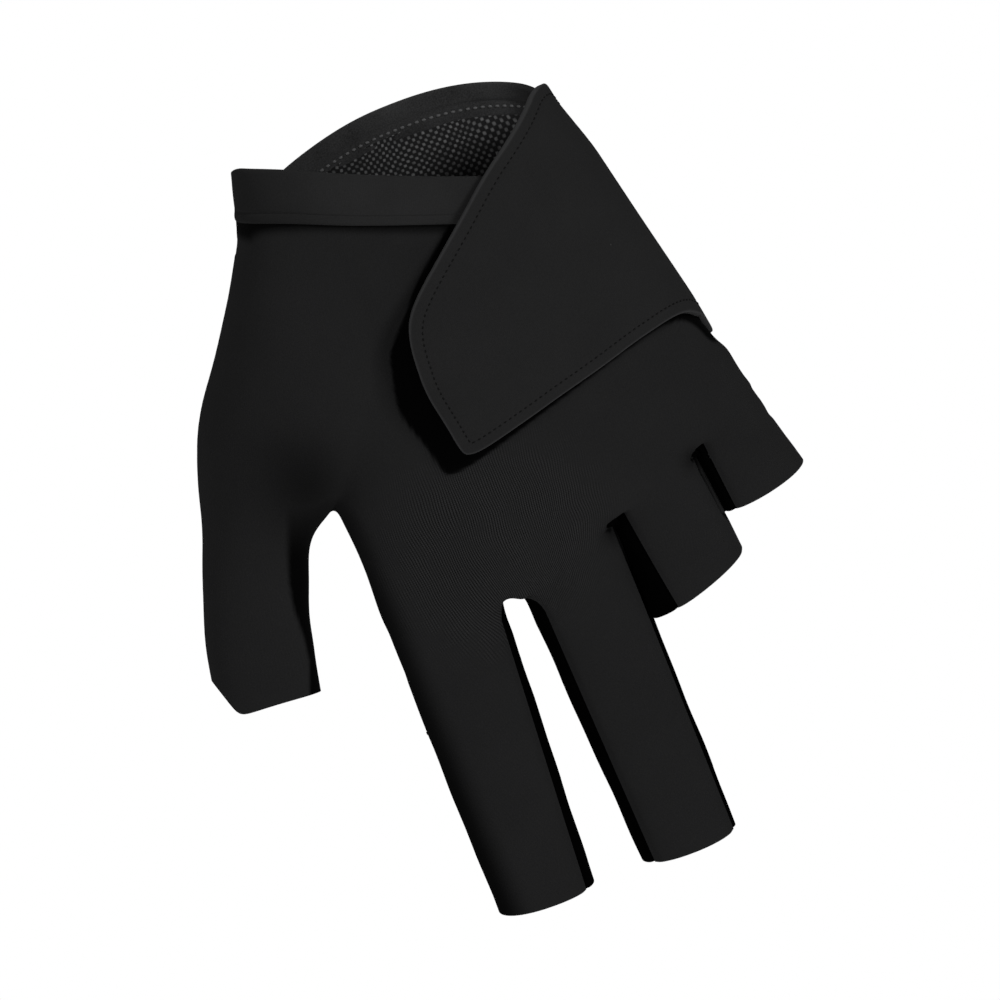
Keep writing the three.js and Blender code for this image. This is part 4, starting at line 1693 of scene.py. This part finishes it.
def eyelet_group() -> bpy.types.NodeTree:
    """An open mesh cloth: a diamond grid of raised knots with hollows between them."""
    graph, given, send = shared_group(
        "eyelet_mesh",
        [("Vector", "NodeSocketVector", None), ("Pitch", "NodeSocketFloat", 0.72)],
        [("Height", "NodeSocketFloat"), ("Knot", "NodeSocketFloat")],
    )
    wander = graph.add("ShaderNodeTexNoise", {"Vector": given("Vector"), "Scale": 0.16, "Detail": 1.0})
    centre = (0.5, 0.5, 0.5)
    shift = graph.add("ShaderNodeVectorMath", {0: wander.outputs[1], 1: centre}, operation="SUBTRACT")
    moved = graph.add("ShaderNodeVectorMath", {0: shift.outputs[0], 3: 1.2}, operation="SCALE")
    place = graph.add("ShaderNodeVectorMath", {0: given("Vector"), 1: moved.outputs[0]}, operation="ADD")
    parts = graph.add("ShaderNodeSeparateXYZ", {0: place.outputs[0]})
    waves = []
    for socket in parts.outputs[:2]:
        angle = graph.math("MULTIPLY", graph.math("DIVIDE", socket, given("Pitch")), math.pi)
        waves.append(graph.math("COSINE", angle))
    grid = graph.math("MULTIPLY", waves[0], waves[1])
    uneven = graph.add("ShaderNodeTexNoise", {"Vector": given("Vector"), "Scale": 0.9, "Detail": 2.0})
    bright = graph.ramp(uneven.outputs[0], 0.3, 0.65, 0.45, 1.0)
    send("Height", graph.ramp(grid, -0.4, 0.9))
    send("Knot", graph.math("MULTIPLY", graph.ramp(grid, -0.1, 0.85), bright))
    return graph.tree


def tone_group() -> bpy.types.NodeTree:
    """The slight unevenness of dyed cloth: a factor round 1, and its fine fuzz."""
    graph, given, send = shared_group(
        "cloth_tone",
        [
            ("Vector", "NodeSocketVector", None),
            ("Amount", "NodeSocketFloat", 0.12),
            ("Fuzz", "NodeSocketFloat", 0.1),
        ],
        [("Factor", "NodeSocketFloat"), ("Fibre", "NodeSocketFloat")],
    )
    broad = graph.add("ShaderNodeTexNoise", {"Vector": given("Vector"), "Scale": 0.075, "Detail": 3.0})
    fine = graph.add("ShaderNodeTexNoise", {"Vector": given("Vector"), "Scale": 3.2, "Detail": 2.0})
    slow = graph.math("MULTIPLY", graph.math("SUBTRACT", broad.outputs[0], 0.5), given("Amount"))
    quick = graph.math("MULTIPLY", graph.math("SUBTRACT", fine.outputs[0], 0.5), given("Fuzz"))
    total = graph.math("ADD", graph.math("MULTIPLY", slow, 4.0), graph.math("MULTIPLY", quick, 4.0))
    send("Factor", graph.math("ADD", total, 1.0))
    send("Fibre", fine.outputs[0])
    return graph.tree


def lint_group() -> bpy.types.NodeTree:
    """A few tiny pale specks of lint."""
    graph, given, send = shared_group(
        "lint",
        [("Vector", "NodeSocketVector", None), ("Size", "NodeSocketFloat", 0.22)],
        [("Speck", "NodeSocketFloat")],
    )
    cells = graph.add("ShaderNodeTexVoronoi", {"Vector": given("Vector"), "Scale": 0.11, "Randomness": 1.0})
    reach = graph.math("DIVIDE", cells.outputs["Distance"], graph.math("MULTIPLY", given("Size"), 0.11))
    speck = graph.ramp(reach, 0.5, 1.0, 1.0, 0.0)
    chance = graph.add("ShaderNodeSeparateColor", {0: cells.outputs["Color"]})
    send("Speck", graph.math("MULTIPLY", speck, graph.ramp(chance.outputs[0], 0.62, 0.66)))
    return graph.tree


class Weave(Enum):
    """The cloths that the glove is made of."""

    RIB = "rib"
    EYELET = "eyelet"
    JERSEY = "jersey"
    HOOK = "hook"


@dataclass(frozen=True)
class ClothFinish:
    """One cloth: its weave, its colour and how its surface takes the light."""

    name: str
    weave: Weave
    colour: tuple[float, float, float]
    roughness: float = 0.85
    sheen: float = 0.02
    tone: float = 0.05
    fuzz: float = 0.1
    relief: float = 0.1 * MM
    pitch: float = 0.5
    knot_colour: tuple[float, float, float] = (0.08, 0.08, 0.083)
    gloss: float = 0.05
    rib_middle: bool = False
    rib_contrast: float = 1.0

    def build(self, groups: dict[str, bpy.types.NodeTree]) -> bpy.types.Material:
        """Makes the material.

        Args:
            groups: the shared node groups, by name.

        Returns:
            The material.
        """
        material, graph = new_material(self.name)
        flat = graph.add("ShaderNodeUVMap", uv_map=CLOTH_MAP).outputs[0]
        place = graph.add("ShaderNodeTexCoord").outputs["Object"]
        in_mm = graph.scaled(place, (1 / MM, 1 / MM, 1 / MM))
        tone = graph.group(groups["tone"], Vector=in_mm, Amount=self.tone, Fuzz=self.fuzz)
        lint = graph.group(groups["lint"], Vector=in_mm)
        height, light, ribs = self.pattern(graph, flat, in_mm, groups)
        grey = graph.math("MULTIPLY", tone.outputs[0], ribs)
        greys = graph.add("ShaderNodeCombineXYZ", {i: grey for i in range(3)}).outputs[0]
        shaded = graph.scaled(greys, self.colour)
        colour = graph.blend(light, shaded, (*self.knot_colour, 1))
        colour = graph.blend(graph.math("MULTIPLY", lint.outputs[0], 0.5), colour, (0.12, 0.12, 0.12, 1))
        colour = self.edges(graph, colour)
        # painted shade: the 'shade' attribute darkens the colour towards black
        shade = graph.add("ShaderNodeAttribute", attribute_name="shade").outputs["Fac"]
        colour = graph.blend(shade, colour, (0.0, 0.0, 0.0, 1))
        total = graph.math("ADD", height, graph.math("MULTIPLY", tone.outputs[1], 0.25))
        bump = graph.add("ShaderNodeBump", {"Height": total, "Distance": self.relief, "Strength": 1.0})
        surface = graph.add("ShaderNodeBsdfPrincipled", {"Base Color": colour, "Normal": bump.outputs[0]})
        surface.inputs["Roughness"].default_value = self.roughness
        surface.inputs["Specular IOR Level"].default_value = self.gloss
        surface.inputs["Sheen Weight"].default_value = self.sheen
        surface.inputs["Sheen Roughness"].default_value = 0.5
        if "Diffuse Roughness" in surface.inputs:
            surface.inputs["Diffuse Roughness"].default_value = 0.9
        graph.add("ShaderNodeOutputMaterial", {"Surface": surface.outputs[0]})
        return material

    def edges(self, graph: Graph, colour: bpy.types.NodeSocket) -> bpy.types.NodeSocket:
        """The paler cut edge and pressed border that the strap has."""
        if self.weave is not Weave.JERSEY:
            return colour
        edge = graph.add("ShaderNodeAttribute", attribute_name="edge").outputs["Fac"]
        border = graph.add("ShaderNodeAttribute", attribute_name="border").outputs["Fac"]
        colour = graph.blend(graph.math("MULTIPLY", border, 0.015), colour, (0.1, 0.1, 0.102, 1))
        return graph.blend(graph.math("MULTIPLY", edge, 0.3), colour, (0.16, 0.16, 0.163, 1))

    def pattern(
        self, graph: Graph, flat: bpy.types.NodeSocket, in_mm: bpy.types.NodeSocket, groups: dict
    ) -> tuple[bpy.types.NodeSocket, bpy.types.NodeSocket, bpy.types.NodeSocket]:
        """The cloth's relief, how much of its paler yarn shows and the tone of its ribs.

        Args:
            graph: the material's graph.
            flat: the place on the cloth laid flat, in millimetres.
            in_mm: the place in the glove, in millimetres.
            groups: the shared node groups.

        Returns:
            The height, the share of the paler colour and a factor for the colour.
        """
        if self.weave is Weave.EYELET:
            mesh = graph.group(groups["eyelet"], Vector=flat, Pitch=self.pitch)
            plain = graph.add("ShaderNodeValue").outputs[0]
            plain.default_value = 1.0
            return mesh.outputs["Height"], mesh.outputs["Knot"], plain
        rib = graph.group(groups["rib"], Vector=flat, Wale=self.pitch, Course=self.pitch * 0.85)
        none = graph.add("ShaderNodeValue").outputs[0]
        none.default_value = 0.0
        middle: object = 0.1
        if self.rib_middle:
            middle = self.middle_mask(graph, in_mm)
        height = graph.math("MULTIPLY", rib.outputs["Height"], middle)
        swing = graph.math("SUBTRACT", rib.outputs["Height"], 0.56)
        swing = graph.math("MULTIPLY", swing, self.rib_contrast)
        return height, none, graph.math("MULTIPLY_ADD", swing, middle, 1.0)

    def middle_mask(self, graph: Graph, in_mm: bpy.types.NodeSocket) -> bpy.types.NodeSocket:
        """Where the ribs stand out: on the knuckles, in patches."""
        parts = graph.add("ShaderNodeSeparateXYZ", {0: in_mm})
        away_x = graph.math("DIVIDE", graph.math("ADD", parts.outputs[0], 12.0), 25.0)
        away_z = graph.math("DIVIDE", graph.math("ADD", parts.outputs[2], 90.0), 25.0)
        squares = graph.math("ADD", graph.math("POWER", away_x, 2.0), graph.math("POWER", away_z, 2.0))
        patches = graph.add("ShaderNodeTexNoise", {"Vector": in_mm, "Scale": 0.35, "Detail": 1.5})
        uneven = graph.math("SUBTRACT", patches.outputs[0], 0.5)
        away = graph.math("ADD", graph.math("SQRT", squares), uneven)
        broken = graph.ramp(patches.outputs[0], 0.3, 0.6, 0.45, 1.0)
        return graph.math("MULTIPLY", graph.ramp(away, 0.6, 1.15, 1.0, 0.03), broken)


@dataclass(frozen=True)
class ThreadFinish:
    """A sewing thread."""

    name: str
    colour: tuple[float, float, float]
    roughness: float = 0.6

    def build(self, groups: dict[str, bpy.types.NodeTree]) -> bpy.types.Material:
        """Makes the material, whose fibres vary a little in tone."""
        material, graph = new_material(self.name)
        place = graph.add("ShaderNodeTexCoord").outputs["Object"]
        finer = graph.scaled(place, (4 / MM, 4 / MM, 4 / MM))
        tone = graph.group(groups["tone"], Vector=finer, Amount=0.12)
        grey = graph.add("ShaderNodeCombineColor", {i: tone.outputs[0] for i in range(3)})
        fibres = {"Height": tone.outputs[1], "Distance": 0.04 * MM, "Strength": 0.8}
        bump = graph.add("ShaderNodeBump", fibres)
        surface = graph.add(
            "ShaderNodeBsdfPrincipled",
            {"Base Color": graph.scaled(grey.outputs[0], self.colour), "Normal": bump.outputs[0]},
        )
        surface.inputs["Roughness"].default_value = self.roughness
        surface.inputs["Specular IOR Level"].default_value = 0.1
        graph.add("ShaderNodeOutputMaterial", {"Surface": surface.outputs[0]})
        return material


BACK_KNIT = ClothFinish(
    "back_knit",
    Weave.RIB,
    (0.0345, 0.0345, 0.035),
    rib_middle=True,
    rib_contrast=2.6,
    relief=0.14 * MM,
    pitch=0.43,
)
PALM_MESH = ClothFinish(
    "palm_mesh",
    Weave.EYELET,
    (0.037, 0.037, 0.0375),
    pitch=0.585,
    relief=0.16 * MM,
    knot_colour=(0.33, 0.33, 0.334),
)
# black gusset cloth, made darker still as painted shade between the fingers
GUSSET_KNIT_AND_SHADE = ClothFinish(
    "gusset_knit_and_shade", Weave.RIB, (0.0004, 0.0004, 0.0004), sheen=0.0, pitch=0.4, gloss=0.03
)
CUFF_KNIT = ClothFinish(
    "cuff_knit", Weave.RIB, (0.048, 0.048, 0.0485), pitch=0.38, relief=0.06 * MM, tone=0.08
)
HEM_KNIT = ClothFinish(
    "hem_knit", Weave.RIB, (0.075, 0.075, 0.076), pitch=0.5, relief=0.1 * MM, tone=0.3, fuzz=0.3
)
STRAP_JERSEY = ClothFinish(
    "strap_jersey", Weave.JERSEY, (0.0378, 0.0378, 0.0382), pitch=0.34, relief=0.05 * MM
)
HOOK_TAPE = ClothFinish(
    "hook_tape", Weave.HOOK, (0.004, 0.004, 0.004), pitch=0.6, relief=0.3 * MM, sheen=0.0
)
DARK_THREAD = ThreadFinish("dark_thread", (0.012, 0.012, 0.012))
PALE_THREAD = ThreadFinish("pale_thread", (0.2, 0.2, 0.203))


class Softbox(NamedTuple):
    """A square light: the direction and distance from which it faces the glove, its size and its power."""

    name: str
    way: tuple[float, float, float]
    distance: float
    size: float
    power: float


@dataclass
class Studio:
    """The floor, the lights and the camera."""

    elevation: float = 16.0
    roll: float = 22.5
    span: float = 210 * MM  # what the picture's side shows at the glove
    lens: float = 500.0
    sensor: float = 36.0
    target: tuple[float, float, float] = (-7.95 * MM, 0.0, -83.6 * MM)
    floor_height: float = -0.45
    lights: tuple[Softbox, ...] = (
        Softbox("key", (5.3, -6.0, 3.5), 2.0, 0.42, 9.8),
        Softbox("front", (-3.2, -6.0, 2.0), 2.4, 1.2, 12.0),
    )

    def build(self) -> None:
        """Sets up the camera, the lights, the floor and the backdrop."""
        self.place_camera()
        for softbox in self.lights:
            self.add_light(softbox)
        self.lay_floor()
        self.fill_world()
        bpy.context.scene.view_settings.view_transform = "Standard"

    def place_camera(self) -> None:
        """Looks at the back of the hand from a little above, turned as the photograph is."""
        tilt, roll = math.radians(self.elevation), math.radians(self.roll)
        ahead = Vector((0, math.cos(tilt), -math.sin(tilt)))
        upright = Vector((0, math.sin(tilt), math.cos(tilt)))
        level = Vector((1, 0, 0))
        right = level * math.cos(roll) - upright * math.sin(roll)
        up = level * math.sin(roll) + upright * math.cos(roll)
        distance = self.span * self.lens / self.sensor
        data = bpy.data.cameras.new("camera")
        data.lens = self.lens
        data.sensor_width = self.sensor
        data.clip_end = 30
        camera = bpy.data.objects.new("camera", data)
        turned = Matrix((right, up, -ahead)).transposed().to_4x4()
        turned.translation = Vector(self.target) - ahead * distance
        camera.matrix_world = turned
        bpy.context.scene.collection.objects.link(camera)
        bpy.context.scene.camera = camera

    def add_light(self, softbox: Softbox) -> None:
        """Adds a softbox that faces the glove."""
        way = Vector(softbox.way)
        data = bpy.data.lights.new(softbox.name, "AREA")
        data.energy = softbox.power
        data.size = softbox.size
        light = bpy.data.objects.new(softbox.name, data)
        light.location = Vector(self.target) + way.normalized() * softbox.distance
        light.rotation_euler = way.to_track_quat("Z", "Y").to_euler()
        bpy.context.scene.collection.objects.link(light)

    def lay_floor(self) -> None:
        """Lays a pale floor that the camera sees as bright as the backdrop."""
        bpy.ops.object.select_all(action="DESELECT")
        bpy.ops.mesh.primitive_plane_add(size=60, location=(0, 0, self.floor_height))
        floor = bpy.context.object
        floor.name = "floor"
        material, graph = new_material("pale_floor")
        plain = graph.add("ShaderNodeBsdfDiffuse", {"Color": (0.7, 0.7, 0.7, 1)})
        bright = graph.add("ShaderNodeEmission", {"Color": (1, 1, 1, 1), "Strength": 1.0})
        self.seen_as(graph, plain, bright, "ShaderNodeOutputMaterial")
        floor.data.materials.append(material)

    def fill_world(self) -> None:
        """A white backdrop that gives only a little light."""
        world = bpy.data.worlds.new("studio")
        bpy.context.scene.world = world
        world.use_nodes = True
        graph = Graph(world.node_tree)
        dim = graph.add("ShaderNodeBackground", {"Color": (1, 1, 1, 1), "Strength": 0.02})
        white = graph.add("ShaderNodeBackground", {"Color": (1, 1, 1, 1), "Strength": 1.0})
        self.seen_as(graph, dim, white, "ShaderNodeOutputWorld")

    def seen_as(self, graph: Graph, lit: bpy.types.Node, seen: bpy.types.Node, output: str) -> None:
        """Joins two shaders, the second of which is for what the camera sees directly."""
        direct = graph.add("ShaderNodeLightPath").outputs["Is Camera Ray"]
        mixed = graph.add("ShaderNodeMixShader", {0: direct, 1: lit.outputs[0], 2: seen.outputs[0]})
        graph.add(output, {"Surface": mixed.outputs[0]})


def dress(obj: bpy.types.Object, material: bpy.types.Material, slot: str, *nodes: str) -> None:
    """Gives a piece its material and its place in the frame.

    Args:
        obj: the piece.
        material: its finish.
        slot: not used.
        nodes: the CAD nodes that it stands for.
    """
    obj.data.materials.clear()
    obj.data.materials.append(material)
    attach(obj, "root")
    if nodes:
        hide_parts(*nodes)
    log.info("dressed %s", obj.name)


def hem_stitches(band: FoldedBand) -> list[bpy.types.Object]:
    """The row of pale stitches along the palm's hem, on its inside and its outside."""
    turn = np.linspace(band.turn_from + 0.03, band.turn_to - 0.03, 500)
    stitch = Stitch(1.0 * MM, 0.75 * MM, 0.5 * MM, 1.6 * MM)
    rows = []
    for name, out, sign in (("hem_stitches_inside", -1.14, -1), ("hem_stitches_outside", 0.33, 1)):
        points, normals = band.line(turn, 5.5 * MM, out * MM)
        rows.append(thread_row(name, points, normals * sign, stitch))
    return rows


def paint_band_shade(piece: bpy.types.Object, most: float, low: float, high: float) -> None:
    """Paints shade on a band, darker towards one of its sides.

    Args:
        piece: the band.
        most: how dark it gets, with 1 for black.
        low: where across the glove it is in its own colour.
        high: where across the glove it is darkest.
    """
    across = read_points(piece)[:, 0]
    side = smoothstep(across, low, high) if low < high else 1 - smoothstep(across, high, low)
    write_attribute(piece, "shade", most * side)


def main() -> None:
    """Builds the glove piece by piece and its studio round it."""
    logging.basicConfig(level=logging.INFO, format="%(name)s: %(message)s")
    Studio().build()
    hand = Hand()
    rims = Rims(hand)
    groups = {"rib": rib_group(), "eyelet": eyelet_group(), "tone": tone_group(), "lint": lint_group()}
    cloths = (BACK_KNIT, PALM_MESH, GUSSET_KNIT_AND_SHADE, CUFF_KNIT, HEM_KNIT, STRAP_JERSEY, HOOK_TAPE)
    finishes = (*cloths, DARK_THREAD, PALE_THREAD)
    made = {finish.name: finish.build(groups) for finish in finishes}

    body = FlatBody(hand)
    strap = Strap(body)
    form = HandForm(hand, rims).build()
    panels = Panels(rims, Shading(hand, rims, strap.front_outline())).build(form)
    bpy.data.objects.remove(form)
    dress(panels["back_panel"], made["back_knit"], "knit", "back_panel")
    dress(panels["palm_panel"], made["palm_mesh"], "mesh", "palm_panel")
    for row in GUSSETS:
        dress(panels[row.node], made["gusset_knit_and_shade"], "gusset", row.node)

    past, short = 0.07, 0.11  # the cuff's ends go past the hand's sides and the hem's stop short of them
    cuff_turns = (math.pi - past, 2 * math.pi + past)
    cuff = FoldedBand(hand, "cuff_fold", rims.back_rim, CUFF_PROFILE, *cuff_turns)
    hem = FoldedBand(hand, "palm_hem_fold", rims.palm_rim, HEM_PROFILE, short, math.pi - short)
    cuff_fold = cuff.build()
    # painted shade on the cuff, darker towards the thumb's side
    paint_band_shade(cuff_fold, 0.3, -12 * MM, -34 * MM)
    dress(cuff_fold, made["cuff_knit"], "band", "cuff_band")
    hem_fold = hem.build()
    # painted shade on the hem next to the strap's corner
    paint_band_shade(hem_fold, 0.6, 22 * MM, 33 * MM)
    dress(hem_fold, made["hem_knit"], "band", "palm_hem")
    for row in hem_stitches(hem):
        dress(row, made["pale_thread"], "band")

    flap, sewing = strap.build()
    dress(flap, made["strap_jersey"], "strap", "strap")
    strap.declare()
    dress(sewing, made["dark_thread"], "strap")
    dress(HookPatch(body).build(strap), made["hook_tape"], "hook", "hook_patch")


if __name__ == "__main__":
    main()
